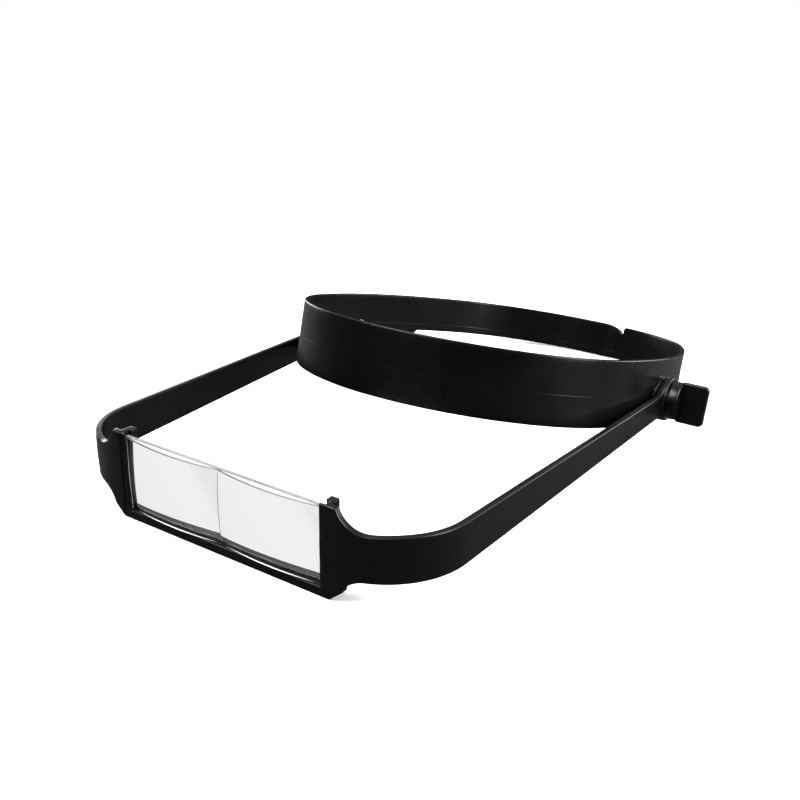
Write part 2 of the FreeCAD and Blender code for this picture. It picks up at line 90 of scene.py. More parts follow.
class VisorSizes(bpy.types.PropertyGroup):
    """Front bar, lens posts, bends and arms."""
    bar_half: length("Bar half", 45.0, "Middle of the front bar to a post's outer side")
    bar_depth: length("Bar depth", 6.5, "Front to back of bar and posts")
    post_height: length("Post height", 32.8, "Underside of the bar to a post's top")
    bend_radius: length("Bend radius", 31.5, "Outer radius from the front to an arm")
    arm_splay: angle("Arm splay", 3.2, "How far each arm opens towards the back")
    arm_wall: length("Arm wall", 2.5, "Thickness of an arm")
    arm_top_front: length("Arm top, front", 25.2, "Height of an arm's upper edge behind its post")
    arm_low_front: length("Arm underside, front", 9.0, "Height of an arm's lower edge behind its post")
    arm_top_rear: length("Arm top, rear", 16.4, "Height of an arm's upper edge at the pivot")
    arm_low_rear: length("Arm underside, rear", 6.8, "Height of an arm's lower edge at the pivot")
    taper_start: length("Taper start", 10.0, "Distance from the front where an arm starts to taper")
    sweep_start: length("Sweep start", 2.5, "Outboard of a post, where its top starts to curve down")
    sweep_reach: length("Sweep reach", 10.5, "Length of that curve from a post's top down to its arm")
    foot_reach: length("Foot reach", 5.0, "Length of the slope under a post's outer corner")
    foot_rise: length("Foot rise", 4.2, "Height of that slope")
    foot_step: length("Foot step", 1.1, "Small step at the top of the slope")
    foot_sweep: length("Foot sweep", 7.0, "Length of the curve from that step to the arm")
    arm_crown: length("Arm crown", 0.2, "How far the outer face stands out along its middle line")
    pivot_reach: length("Pivot reach", 189.5, "Front of the bar to the pivot axis")
    pivot_height: length("Pivot height", 12.0, "Underside of the bar to the pivot axis")
    eye_radius: length("Eye radius", 9.5, "Round end of an arm")
    eye_wall: length("Eye wall", 3.3, "Thickness of the round end")
    eye_flat: length("Straight end", 13.0, "Straight part of an arm in front of the pivot")
    lip_wall: length("Lip wall", 1.2, "Wall in front of the lens plate")
    lip_cover: length("Lip cover", 1.6, "How far each post covers the lens plate")
    channel_floor: length("Channel floor", 1.6, "Bottom of the bar's groove")
    bar_lip: length("Bar lip", 3.5, "Height of the bar's front wall")
    bar_back: length("Bar back", 4.8, "Height of the bar's rear wall")
    channel_gap: length("Channel gap", 0.15, "Clearance round the lens plate")
    edge: length("Edge radius", 0.55, "Rounding of moulded edges")
    bore_radius: length("Bore radius", 2.0, "Hole for the stud")
    post_width: length("Post width", 3.4, "Width of each post")
    groove_wall: length("Groove width", 2.5, "Front to back of the groove for the lens plate")
    meet_turn: angle("Meeting turn", 55.0, "Where an arm's edges meet its round end, from straight ahead")
    flare_reach: length("Flare reach", 12.0, "Distance before the pivot where the edges start to spread")


class LensSizes(bpy.types.PropertyGroup):
    """Clear plate with two lenses."""
    wall: length("Wall", 2.2, "Thickness of the plate")
    half: length("Half width", 43.2, "Half the plate's width")
    height: length("Height", 29.4, "Height of the plate")
    radius: length("Lens radius", 107.0, "Radius of each spherical front")
    rise: length("Lens rise", 2.84, "How far each lens stands out at its middle")
    edge_gap: length("Edge gap", 0.3, "Clearance between lenses and frame")
    groove: length("Groove", 0.18, "Width of the groove between the lenses")
    edge: length("Chamfer", 0.4, "Broken edges of the plate")
    # The two dark lines are painted shade on rows of the plate's top. They stand in for what refraction shows
    # of the dark frame behind.
    strip: length("Dark line", 0.7, "Each of two painted dark lines along the back of the plate's top")
    strip_gap: length("Dark line gap", 0.2, "Between the two dark lines")


class BandSizes(bpy.types.PropertyGroup):
    """Headband."""
    wall: length("Wall", 2.0, "Thickness of the band")
    front_turn: angle("Forehead turn", 78.0, "How far the forehead arc turns on each side of its middle")
    side_radius: length("Side radius", 198.0, "Radius of the side arcs")
    side_turn: angle("Side turn", 35.9, "How far each side arc turns")
    half_width: length("Half width", 78.96, "Middle of the wall from the middle plane")
    reach: length("Reach", 101.6, "Pivot axis to the forehead")
    top: length("Top", 16.8, "Upper edge above the pivot axis")
    low: length("Underside", 10.8, "Lower edge below the pivot axis")
    strap_low: length("Strap underside", 1.7, "Lower edge of the narrow back strap")
    strap_start: length("Strap start", 45.0, "Where the band narrows to the strap")
    strap_round: length("Strap rounding", 4.0, "Rounding of that step")
    tongue_drop: length("Tail drop", 3.8, "How much lower the outer tail is than the band")
    shoulder_start: length("Shoulder start", 7.0, "Start of the rounded shoulder beside the closure")
    shoulder_length: length("Shoulder length", 10.5, "Length of that shoulder")
    layer_gap: length("Layer gap", 0.3, "Gap between the lapped tails")
    joggle_start: angle("Joggle start", 6.5, "Where the outer tail starts to step out")
    joggle_end: angle("Joggle end", 14.0, "Where it has stepped out")
    inner_end: angle("Inner tail end", 17.0, "End of the inner tail")
    outer_end: angle("Outer tail end", 42.0, "End of the outer tail")
    snap_start: angle("First socket", 24.0, "Place of the first snap socket")
    snap_pitch: angle("Socket pitch", 7.0, "Distance between snap sockets")
    snap_height: length("Socket height", 5.5, "Height of the snap sockets over the pivot axis")
    snap_radius: length("Snap radius", 1.9, "Radius of the snap studs")
    sockets: IntProperty(name="Sockets", description="Number of snap sockets", default=5, min=2)
    edge: length("Edge radius", 0.5, "Rounding of the band's edges")
    boss_radius: length("Boss radius", 9.0, "Round pad that takes the pivot")
    boss_face: length("Boss face", 81.36, "Outer face of that pad from the middle plane")
    nut_seat: length("Nut seat", 80.21, "Bottom of the nut's recess from the middle plane")


class PivotSizes(bpy.types.PropertyGroup):
    """Knobs, studs, nuts and washers. Places are measured from the middle plane."""
    hub_face: length("Hub face", 86.355, "Inner face of a knob")
    hub_length: length("Hub length", 4.0, "Length of a knob's hub")
    hub_radius: length("Hub radius", 8.3, "Radius of a knob's hub")
    hub_edge: length("Hub edge", 0.9, "Rounding of the hub's outer rim")
    wing_half: length("Wing half height", 8.7, "Half the height of the wing")
    wing_wall: length("Wing wall", 3.0, "Thickness of the wing")
    wing_length: length("Wing length", 10.6, "How far the wing stands out of the hub")
    wing_round: length("Wing rounding", 2.0, "Corner radius of the wing")
    wing_turn: angle("Wing lean", 14.0, "How far the wing leans back from the visor's upright")
    stud_radius: length("Stud radius", 1.95, "Outer radius of the thread")
    stud_pitch: length("Thread pitch", 0.7, "Pitch of the thread")
    stud_depth: length("Thread depth", 0.38, "Depth of the thread")
    stud_inner: length("Stud inner end", 77.96, "Inner end of a stud")
    stud_outer: length("Stud outer end", 89.36, "Outer end of a stud, inside the knob")
    nut_flats: length("Nut flats", 7.0, "Size of the nut across its flats")
    nut_wall: length("Nut height", 2.2, "Height of the nut")
    nut_outer: length("Nut face", 80.16, "Outer face of the nut")
    friction_face: length("Friction washer face", 81.41, "Inner face of the friction washer")
    friction_wall: length("Friction washer wall", 0.7, "Thickness of the friction washer")
    friction_radius: length("Friction washer radius", 7.5, "Radius of the friction washer")
    flat_face: length("Flat washer face", 85.51, "Inner face of the flat washer")
    flat_wall: length("Flat washer wall", 0.8, "Thickness of the flat washer")
    flat_radius: length("Flat washer radius", 6.0, "Radius of the flat washer")


class Finishes(bpy.types.PropertyGroup):
    """Colours and gloss."""
    visor_black: colour("Visor black", (0.0007, 0.0007, 0.0008, 1), "Moulded plastic of the visor frame")
    band_black: colour("Band black", (0.0008, 0.0008, 0.0009, 1), "Moulded plastic of the headband")
    knob_black: colour("Knob black", (0.0007, 0.0007, 0.0008, 1), "Moulded plastic of the knobs")
    steel: colour("Plated steel", (0.62, 0.62, 0.64, 1), "Studs, nuts and flat washers")
    pad_black: colour("Friction pad", (0.02, 0.02, 0.02, 1), "Friction washers")
    clear: colour("Clear plate", (0.91, 0.91, 0.91, 1), "Acrylic of the lens plate")
    # Pale colour on the plate's top and on the ledge under the lenses: a painted highlight where light
    # catches these narrow faces of the clear plate.
    painted_highlight: colour("Plate painted highlight", (0.6, 0.61, 0.61, 1), "Painted highlight on the lens plate's top and on the ledge under the lenses")
    # Dark colour on the plate's chamfers, ends, underside and the two dark lines on its top: painted shade
    # that stands in for the dark frame that refraction shows through a clear plate's edges.
    corner: colour("Plate painted shade", (0.11, 0.115, 0.115, 1), "Painted shade on chamfers, ends, underside and dark lines")
    visor_gloss: factor("Visor roughness", 0.29, "Roughness of the visor frame")
    band_gloss: factor("Band roughness", 0.27, "Roughness of the headband")
    knob_gloss: factor("Knob roughness", 0.28, "Roughness of the knobs")


class StageSettings(bpy.types.PropertyGroup):
    """Floor, lights and camera."""
    floor: colour("Floor", (0.9, 0.9, 0.9, 1), "Colour of the floor")
    bounce: colour("Floor bounce", (0.05, 0.05, 0.05, 1), "Colour of the floor in reflections")
    sky: FloatProperty(name="Sky strength", description="Soft light from overhead", default=0.9, min=0.0)
    horizon: FloatProperty(name="Horizon strength", description="Soft light from the sides", default=0.02,
                           min=0.0)
    key: FloatProperty(name="Key power", description="Large light over the left front", default=60.0,
                       min=0.0, unit="POWER")
    side: FloatProperty(name="Side power", description="Tall light on the right", default=46.0,
                        min=0.0, unit="POWER")
    left: FloatProperty(name="Left power", description="Low strip behind the left side", default=8.0,
                        min=0.0, unit="POWER")
    rear: FloatProperty(name="Rear power", description="Low strip behind the right side", default=11.0,
                        min=0.0, unit="POWER")
    lens: FloatProperty(name="Focal length", description="Camera's focal length in millimetres",
                        default=44.73, min=1.0)
    place: FloatVectorProperty(name="Camera place", description="Where the camera stands",
                               default=(0.2025, -0.37009, 0.16309), subtype="TRANSLATION", unit="LENGTH")
    heading: angle("Heading", 32.161, "Direction of view, turned from +Y towards -X")
    dip: angle("Dip", 19.849, "How far the camera looks down")
    roll: angle("Roll", 3.351, "How far the camera is tilted sideways")


class HeadVisorSettings(bpy.types.PropertyGroup):
    """Everything that can be changed."""
    visor: PointerProperty(name="Visor", type=VisorSizes)
    lens: PointerProperty(name="Lens plate", type=LensSizes)
    band: PointerProperty(name="Headband", type=BandSizes)
    pivot: PointerProperty(name="Pivots", type=PivotSizes)
    finish: PointerProperty(name="Finishes", type=Finishes)
    stage: PointerProperty(name="Stage", type=StageSettings)


# ---------------------------------------------------------------- shapes

def row_frame(points, up, origin):
    """Points from a working frame to the row frame. X stays, up is the frame's Z, and Y is up cross X."""
    across = np.array([1.0, 0.0, 0.0])
    return points @ np.array([across, np.cross(up, across), up]) + origin


def visor_frame_points(points):
    size = settings().visor
    corner = np.array([[0.0, size.pivot_reach, size.pivot_height]])
    return row_frame(points - corner, VISOR_UP, PIVOT)


def band_frame_points(points):
    return row_frame(points, BAND_UP, PIVOT)


def knob_frame_points(points):
    """The visor's frame turned back about the pivot axis by the wing's lean."""
    lean = atan2(-VISOR_UP[1], VISOR_UP[2]) - settings().pivot.wing_turn
    return row_frame(points, np.array([0.0, -sin(lean), cos(lean)]), PIVOT)


def smooth(t):
    """0 below 0, 1 above 1, and 3t^2 - 2t^3 between."""
    t = np.clip(t, 0, 1)
    return t * t * (3 - 2 * t)


def fillet(corners, radii, steps=5):
    """A closed outline whose corners are rounded: each corner gives way to points on the circle of its
    radius that touches both of its sides."""
    corners = np.asarray(corners, float)
    radii = np.broadcast_to(np.asarray(radii, float), len(corners))[:, None]
    back = np.roll(corners, 1, axis=0) - corners
    ahead = np.roll(corners, -1, axis=0) - corners
    back /= np.linalg.norm(back, axis=1, keepdims=True)
    ahead /= np.linalg.norm(ahead, axis=1, keepdims=True)
    half = np.arccos(np.clip((back * ahead).sum(1, keepdims=True), -1, 1)) / 2
    middle = back + ahead
    middle /= np.linalg.norm(middle, axis=1, keepdims=True)
    centre = corners + middle * radii / np.sin(half)
    start = corners + back * radii / np.tan(half) - centre
    end = corners + ahead * radii / np.tan(half) - centre
    turn = (pi - 2 * half)[:, None]
    t = np.linspace(0, 1, steps)[None, :, None]
    arc = (start[:, None] * np.sin((1 - t) * turn) + end[:, None] * np.sin(t * turn)) / np.sin(turn)
    return (centre[:, None] + arc).reshape(-1, 2)


def inset(loop, distance):
    """A closed anticlockwise outline moved inwards: each point goes along the normal of its neighbours'
    chord."""
    chord = np.roll(loop, -1, axis=0) - np.roll(loop, 1, axis=0)
    normal = np.stack([-chord[:, 1], chord[:, 0]], axis=1)
    normal /= np.linalg.norm(normal, axis=1, keepdims=True)
    return loop + normal * distance


def rounded_prism(loop, low, high, edge, steps=4):
    """Sections (levels, points, 3) of a prism on an outline, from low to high, whose two end edges are
    quarter circles: at turn a the outline is inset by edge (1 - sin a) at a height edge (1 - cos a)."""
    turn = np.linspace(0, pi / 2, steps)
    inward = np.concatenate([edge * (1 - np.sin(turn)), edge * (1 - np.sin(turn[::-1]))])
    height = np.concatenate([low + edge * (1 - np.cos(turn)), high - edge * (1 - np.cos(turn[::-1]))])
    outlines = np.stack([inset(loop, distance) for distance in inward])
    heights = np.broadcast_to(height[:, None, None], (*outlines.shape[:2], 1))
    return np.concatenate([outlines, heights], axis=2)


def lathe(profile, count=96):
    """Sections of a turned part about the X axis: each (x, r) of the profile gives a circle of points
    (x, r cos a, r sin a)."""
    profile = np.asarray(profile, float)
    a = np.linspace(0, 2 * pi, count, endpoint=False)
    x = np.broadcast_to(profile[:, :1], (len(profile), count))
    return np.stack([x, profile[:, 1:] * np.cos(a), profile[:, 1:] * np.sin(a)], axis=2)


def washer(face, wall, inner, outer, edge, count=96):
    """A ring about the X axis: a rounded rectangle in (x, r) carried round."""
    corners = [(face, inner), (face + wall, inner), (face + wall, outer), (face, outer)]
    return lathe(fillet(corners, edge), count)


def skin(sections, ring=False):
    """Vertices and faces of a closed surface through sections of one length: quads between neighbours,
    and a flat end on the first and last, or quads from last to first for a ring."""
    levels, count = sections.shape[:2]
    index = np.arange(levels * count).reshape(levels, count)
    first = index if ring else index[:-1]
    second = np.roll(index, -1, axis=0) if ring else index[1:]
    quads = np.stack([first, np.roll(first, -1, axis=1), np.roll(second, -1, axis=1), second], axis=2)
    faces = quads.reshape(-1, 4).tolist()
    if not ring:
        faces += [index[0, ::-1].tolist(), index[-1].tolist()]
    vertices = sections.reshape(-1, 3)
    corners = vertices[quads.reshape(-1, 4)] - vertices.mean(0)
    volume = np.einsum("ij,ij->i", corners[:, 0], np.cross(corners[:, 1], corners[:, 2])).sum()
    volume += np.einsum("ij,ij->i", corners[:, 0], np.cross(corners[:, 2], corners[:, 3])).sum()
    if volume < 0:
        faces = [face[::-1] for face in faces]
    return vertices, faces


def new_object(name, shells):
    """One mesh object from several (vertices, faces) shells."""
    offsets = np.cumsum([0] + [len(vertices) for vertices, _ in shells])
    vertices = np.concatenate([vertices for vertices, _ in shells])
    faces = [[corner + int(offset) for corner in face]
             for offset, (_, faces) in zip(offsets, shells) for face in faces]
    mesh = bpy.data.meshes.new(name)
    mesh.from_pydata(vertices, [], faces)
    mesh.validate()
    piece = bpy.data.objects.new(name, mesh)
    bpy.context.scene.collection.objects.link(piece)
    return piece


def fused(name, shells, cutters=()):
    """One closed mesh: the first shell, joined with the others and cut by the cutters, exactly."""
    piece = new_object(name, shells[:1])
    tools = []
    for operation, group in (("UNION", shells[1:]), ("DIFFERENCE", cutters)):
        for shell in group:
            tool = new_object("tool", [shell])
            step = piece.modifiers.new("join", "BOOLEAN")
            step.operation = operation
            step.solver = "EXACT"
            step.object = tool
            tools.append(tool)
    bpy.context.view_layer.update()
    graph = bpy.context.evaluated_depsgraph_get()
    mesh = bpy.data.meshes.new_from_object(piece.evaluated_get(graph))
    piece.modifiers.clear()
    piece.data = mesh
    mesh.name = name
    for tool in tools:
        bpy.data.objects.remove(tool)
    return piece


def settle(piece, body, nodes, material, sharp=35):
    """Shading, material and the piece's place in the CAD frame."""
    piece.data.materials.clear()
    piece.data.materials.append(material)
    piece.data.shade_smooth()
    piece.data.set_sharp_from_angle(angle=radians(sharp))
    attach(piece, body)
    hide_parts(*nodes)
    return piece


def mirrored(sections, side):
    return sections * np.array([side, 1, 1])


def settings():
    return bpy.context.scene.head_visor


# ---------------------------------------------------------------- finishes

def add(tree, kind, inputs=None, **attributes):
    """A shader node with its attributes and inputs set. An input is a value or another node's socket."""
    node = tree.nodes.new(kind)
    for name, value in attributes.items():
        setattr(node, name, value)
    for name, value in (inputs or {}).items():
        if isinstance(value, bpy.types.NodeSocket):
            tree.links.new(value, node.inputs[name])
        else:
            node.inputs[name].default_value = value
    return node


def new_group(name, inputs, outputs):
    """An empty node group. inputs maps a name to (socket type, default); outputs maps a name to a type."""
    tree = bpy.data.node_groups.new(name, "ShaderNodeTree")
    for label, (kind, default) in inputs.items():
        tree.interface.new_socket(name=label, in_out="INPUT", socket_type=kind).default_value = default
    for label, kind in outputs.items():
        tree.interface.new_socket(name=label, in_out="OUTPUT", socket_type=kind)
    return tree, tree.nodes.new("NodeGroupInput").outputs, tree.nodes.new("NodeGroupOutput")


def moulded_skin():
    """Moulded plastic: fine eroded grain and slow waviness as a normal, patches of gloss, and sparse
    hairline scuffs."""
    tree, given, result = new_group(
        "moulded_skin",
        {"Roughness": ("NodeSocketFloat", 0.4), "Grain Scale": ("NodeSocketFloat", 1800.0),
         "Grain Depth": ("NodeSocketFloat", 0.12), "Wave Depth": ("NodeSocketFloat", 0.1),
         "Scuffs": ("NodeSocketFloat", 0.3)},
        {"Roughness": "NodeSocketFloat", "Scuff Mask": "NodeSocketFloat", "Patches": "NodeSocketFloat",
         "Normal": "NodeSocketVector"})
    place = add(tree, "ShaderNodeTexCoord").outputs["Object"]
    grain = add(tree, "ShaderNodeTexNoise", {"Vector": place, "Scale": given["Grain Scale"], "Detail": 3.0,
                                             "Roughness": 0.6})
    wave = add(tree, "ShaderNodeTexNoise", {"Vector": place, "Scale": 45.0, "Detail": 2.0})
    patches = add(tree, "ShaderNodeTexNoise", {"Vector": place, "Scale": 28.0, "Detail": 5.0,
                                               "Roughness": 0.62})
    stretched = add(tree, "ShaderNodeMapping", {"Vector": place, "Rotation": (0.3, 0.7, 0.5),
                                                "Scale": (60.0, 900.0, 400.0)})
    hairs = add(tree, "ShaderNodeTexNoise", {"Vector": stretched.outputs[0], "Scale": 1.0, "Detail": 2.0})
    thin = add(tree, "ShaderNodeMapRange", {"Value": hairs.outputs[0], "From Min": 0.66, "From Max": 0.72})
    spread = add(tree, "ShaderNodeMapRange", {"Value": patches.outputs[0], "From Min": 0.52,
                                              "From Max": 0.66})
    some = add(tree, "ShaderNodeMath", {0: thin.outputs[0], 1: spread.outputs[0]}, operation="MULTIPLY")
    scuff = add(tree, "ShaderNodeMath", {0: some.outputs[0], 1: given["Scuffs"]}, operation="MULTIPLY")
    gloss = add(tree, "ShaderNodeMapRange", {"Value": patches.outputs[0], "From Min": 0.3, "From Max": 0.7,
                                             "To Min": -0.035, "To Max": 0.05})
    rough = add(tree, "ShaderNodeMath", {0: given["Roughness"], 1: gloss.outputs[0]}, operation="ADD")
    worn = add(tree, "ShaderNodeMath", {0: scuff.outputs[0], 1: 0.25, 2: rough.outputs[0]},
               operation="MULTIPLY_ADD")
    slow = add(tree, "ShaderNodeBump", {"Height": wave.outputs[0], "Strength": given["Wave Depth"],
                                        "Distance": 0.0006})
    fine = add(tree, "ShaderNodeBump", {"Height": grain.outputs[0], "Strength": given["Grain Depth"],
                                        "Distance": 0.0001, "Normal": slow.outputs[0]})
    for name, socket in (("Roughness", worn), ("Scuff Mask", scuff), ("Patches", patches),
                         ("Normal", fine)):
        tree.links.new(socket.outputs[0], result.inputs[name])
    return tree


def seam_line():
    """A mould's parting line: a thin raised line in the plane through a point, given by a direction."""
    tree, given, result = new_group(
        "seam_line",
        {"Direction": ("NodeSocketVector", (0.0, 0.0, 1.0)), "Level": ("NodeSocketFloat", 0.0),
         "Width": ("NodeSocketFloat", 0.0002), "Normal": ("NodeSocketVector", (0.0, 0.0, 0.0))},
        {"Line": "NodeSocketFloat", "Normal": "NodeSocketVector"})
    place = add(tree, "ShaderNodeTexCoord").outputs["Object"]
    along = add(tree, "ShaderNodeVectorMath", {0: place, 1: given["Direction"]}, operation="DOT_PRODUCT")
    off = add(tree, "ShaderNodeMath", {0: along.outputs["Value"], 1: given["Level"]}, operation="SUBTRACT")
    far = add(tree, "ShaderNodeMath", {0: off.outputs[0]}, operation="ABSOLUTE")
    line = add(tree, "ShaderNodeMapRange", {"Value": far.outputs[0], "From Min": 0.0,
                                            "From Max": given["Width"], "To Min": 1.0, "To Max": 0.0},
               interpolation_type="SMOOTHSTEP")
    raised = add(tree, "ShaderNodeBump", {"Height": line.outputs[0], "Strength": 0.35, "Distance": 0.0001,
                                          "Normal": given["Normal"]})
    tree.links.new(line.outputs[0], result.inputs["Line"])
    tree.links.new(raised.outputs[0], result.inputs["Normal"])
    return tree


def new_material(name):
    material = bpy.data.materials.new(name)
    material.use_nodes = True
    tree = material.node_tree
    tree.nodes.clear()
    output = tree.nodes.new("ShaderNodeOutputMaterial")
    shader = tree.nodes.new("ShaderNodeBsdfPrincipled")
    tree.links.new(shader.outputs[0], output.inputs["Surface"])
    return material, tree, shader, output


def group_named(name, build):
    return bpy.data.node_groups.get(name) or build()


def plastic(name, base, roughness, grain, waves, scuffs, seam=None):
    """Black moulded plastic. seam is the (direction, level) of its parting line."""
    material, tree, shader, _ = new_material(name)
    surface = add(tree, "ShaderNodeGroup", node_tree=group_named("moulded_skin", moulded_skin))
    for label, value in (("Roughness", roughness), ("Grain Depth", grain), ("Wave Depth", waves),
                         ("Scuffs", scuffs)):
        surface.inputs[label].default_value = value
    light = [channel * 1.8 + 0.0002 for channel in base[:3]] + [1]
    scuffed = [channel * 2 + 0.003 for channel in base[:3]] + [1]
    tone = add(tree, "ShaderNodeMix", {"Factor": surface.outputs["Patches"], 6: tuple(base), 7: light},
               data_type="RGBA")
    marked = add(tree, "ShaderNodeMix", {"Factor": surface.outputs["Scuff Mask"], 6: tone.outputs[2],
                                         7: scuffed}, data_type="RGBA")
    normal = surface.outputs["Normal"]
    if seam:
        line = add(tree, "ShaderNodeGroup", node_tree=group_named("seam_line", seam_line))
        line.inputs["Direction"].default_value = seam[0]
        line.inputs["Level"].default_value = seam[1]
        tree.links.new(normal, line.inputs["Normal"])
        normal = line.outputs["Normal"]
    tree.links.new(marked.outputs[2], shader.inputs["Base Color"])
    tree.links.new(surface.outputs["Roughness"], shader.inputs["Roughness"])
    tree.links.new(normal, shader.inputs["Normal"])
    shader.inputs["IOR"].default_value = 1.5
    shader.inputs["Specular IOR Level"].default_value = 0.2
    return material


def plated_steel(name, base):
    """Zinc-plated steel: fine turning marks round the pivot axis and slightly cloudy plating."""
    material, tree, shader, _ = new_material(name)
    place = add(tree, "ShaderNodeTexCoord").outputs["Object"]
    cloud = add(tree, "ShaderNodeTexNoise", {"Vector": place, "Scale": 900.0, "Detail": 4.0})
    centred = add(tree, "ShaderNodeMapping", {"Vector": place, "Location": tuple(-PIVOT)})
    axes = add(tree, "ShaderNodeSeparateXYZ", {0: centred.outputs[0]})
    flat = add(tree, "ShaderNodeCombineXYZ", {"Y": axes.outputs["Y"], "Z": axes.outputs["Z"]})
    radius = add(tree, "ShaderNodeVectorMath", {0: flat.outputs[0]}, operation="LENGTH")
    rings = add(tree, "ShaderNodeTexNoise", {"W": radius.outputs["Value"], "Scale": 9000.0, "Detail": 2.0},
                noise_dimensions="1D")
    tint = add(tree, "ShaderNodeMix", {"Factor": cloud.outputs[0], 6: tuple(base), 7: (0.72, 0.71, 0.66, 1)},
               data_type="RGBA")
    rough = add(tree, "ShaderNodeMapRange", {"Value": cloud.outputs[0], "To Min": 0.2, "To Max": 0.42})
    bump = add(tree, "ShaderNodeBump", {"Height": rings.outputs[0], "Strength": 0.25, "Distance": 0.00005})
    tree.links.new(tint.outputs[2], shader.inputs["Base Color"])
    tree.links.new(rough.outputs[0], shader.inputs["Roughness"])
    tree.links.new(bump.outputs[0], shader.inputs["Normal"])
    shader.inputs["Metallic"].default_value = 1.0
    return material


def sawn_acrylic_painted_light(name, base):
    """The plate's narrow faces, with faint cutting marks, in a painted colour: a pale one is a painted
    highlight on the plate's top and ledge, and a dark one is painted shade that stands in for the dark lines
    that refraction shows along a clear plate's edges."""
    material, tree, shader, _ = new_material(name)
    place = add(tree, "ShaderNodeTexCoord").outputs["Object"]
    marks = add(tree, "ShaderNodeMapping", {"Vector": place, "Scale": (250.0, 2500.0, 2500.0)})
    sawn = add(tree, "ShaderNodeTexNoise", {"Vector": marks.outputs[0], "Scale": 1.0, "Detail": 3.0})
    shade = [channel * 0.6 for channel in base[:3]] + [1]
    tint = add(tree, "ShaderNodeMix", {"Factor": sawn.outputs[0], 6: shade, 7: tuple(base)},
               data_type="RGBA")
    rough = add(tree, "ShaderNodeMapRange", {"Value": sawn.outputs[0], "To Min": 0.25, "To Max": 0.5})
    tree.links.new(tint.outputs[2], shader.inputs["Base Color"])
    tree.links.new(rough.outputs[0], shader.inputs["Roughness"])
    shader.inputs["Transmission Weight"].default_value = 0.35
    shader.inputs["IOR"].default_value = 1.49
    return material


def clear_acrylic(name, base):
    """Polished clear acrylic: faint polishing haze in the gloss. Light passes it almost unshaded."""
    material, tree, shader, output = new_material(name)
    place = add(tree, "ShaderNodeTexCoord").outputs["Object"]
    haze = add(tree, "ShaderNodeTexNoise", {"Vector": place, "Scale": 120.0, "Detail": 4.0})
    rough = add(tree, "ShaderNodeMapRange", {"Value": haze.outputs[0], "From Min": 0.4, "From Max": 0.8,
                                             "To Min": 0.0, "To Max": 0.05})
    tree.links.new(rough.outputs[0], shader.inputs["Roughness"])
    shader.inputs["Base Color"].default_value = base
    shader.inputs["Transmission Weight"].default_value = 1.0
    shader.inputs["IOR"].default_value = 1.49
    passing = add(tree, "ShaderNodeBsdfTransparent", {"Color": (0.93, 0.94, 0.94, 1)})
    rays = add(tree, "ShaderNodeLightPath")
    choice = add(tree, "ShaderNodeMixShader", {0: rays.outputs["Is Shadow Ray"], 1: shader.outputs[0],
                                               2: passing.outputs[0]})
    tree.links.new(choice.outputs[0], output.inputs["Surface"])
    return material


def rubbery(name, base):
    """Matt black friction pad with a coarse, even nap."""
    material, tree, shader, _ = new_material(name)
    place = add(tree, "ShaderNodeTexCoord").outputs["Object"]
    nap = add(tree, "ShaderNodeTexNoise", {"Vector": place, "Scale": 2500.0, "Detail": 3.0})
    tint = add(tree, "ShaderNodeMix", {"Factor": nap.outputs[0], 6: tuple(base), 7: (0.05, 0.05, 0.05, 1)},
               data_type="RGBA")
    bump = add(tree, "ShaderNodeBump", {"Height": nap.outputs[0], "Strength": 0.5, "Distance": 0.0001})
    tree.links.new(tint.outputs[2], shader.inputs["Base Color"])
    tree.links.new(bump.outputs[0], shader.inputs["Normal"])
    shader.inputs["Roughness"].default_value = 0.85
    return material


# ---------------------------------------------------------------- strips

def strip_profile(half, edge, rows, steps=5):
    """A rounded rectangle for a strip of changing height, as three arrays: distance across the wall,
    share of the height (0 at the lower edge's rounding, 1 at the upper one's), and rise over that."""
    turn = np.linspace(0, pi / 2, steps)
    face = np.linspace(0, 1, rows + 2)[1:-1]
    zeros, ones = np.zeros(steps), np.ones(steps)
    along = np.concatenate([turn, turn + pi / 2, np.full(rows, pi), turn + pi, turn + 1.5 * pi,
                            np.full(rows, 2 * pi)])
    outward = np.concatenate([ones, -ones, -np.ones(rows), -ones, ones, np.ones(rows)])
    across = (half - edge) * outward + edge * np.cos(along)
    share = np.concatenate([ones, ones, face[::-1], zeros, zeros, face])
    return across, share, edge * np.sin(along)


def end_rounding(distance, radius):
    """How far an edge draws in at a distance from a rounded end: radius - sqrt(radius^2 - (radius - d)^2)."""
    short = np.clip(radius - distance, 0, radius)
    return radius - np.sqrt(radius ** 2 - short ** 2)


# ---------------------------------------------------------------- headband

def band_arcs(size):
    """The oval of forehead, side and rear arcs, each touching the next: the two turns where they meet,
    and for each arc its radius and its centre's x and y (x for the right-hand side)."""
    side_x = size.half_width - size.side_radius
    first, second = size.front_turn, size.front_turn + size.side_turn
    front_radius = size.side_radius + side_x / sin(first)
    front_y = front_radius - size.reach
    side_y = front_y + (size.side_radius - front_radius) * cos(first)
    rear_radius = size.side_radius + side_x / sin(second)
    rear_y = side_y - (size.side_radius - rear_radius) * cos(second)
    return (first, second, (front_radius, 0.0, front_y), (size.side_radius, side_x, side_y),
            (rear_radius, 0.0, rear_y))


def band_line(size, turn, offset):
    """Points of the oval at an offset from the middle of its wall. turn is the outward direction,
    measured from -Y towards +X: the point is its arc's centre + (radius + offset)(sin turn, -cos turn)."""
    first, second, front, side, rear = band_arcs(size)
    wrapped = (turn + pi) % (2 * pi) - pi
    arc = np.select([np.abs(wrapped) < first, np.abs(wrapped) < second], [0, 1], 2)
    radius, centre_x, centre_y = np.array([front, side, rear]).T[:, arc]
    x = centre_x * np.sign(wrapped) + (radius + offset) * np.sin(turn)
    return x, centre_y - (radius + offset) * np.cos(turn)


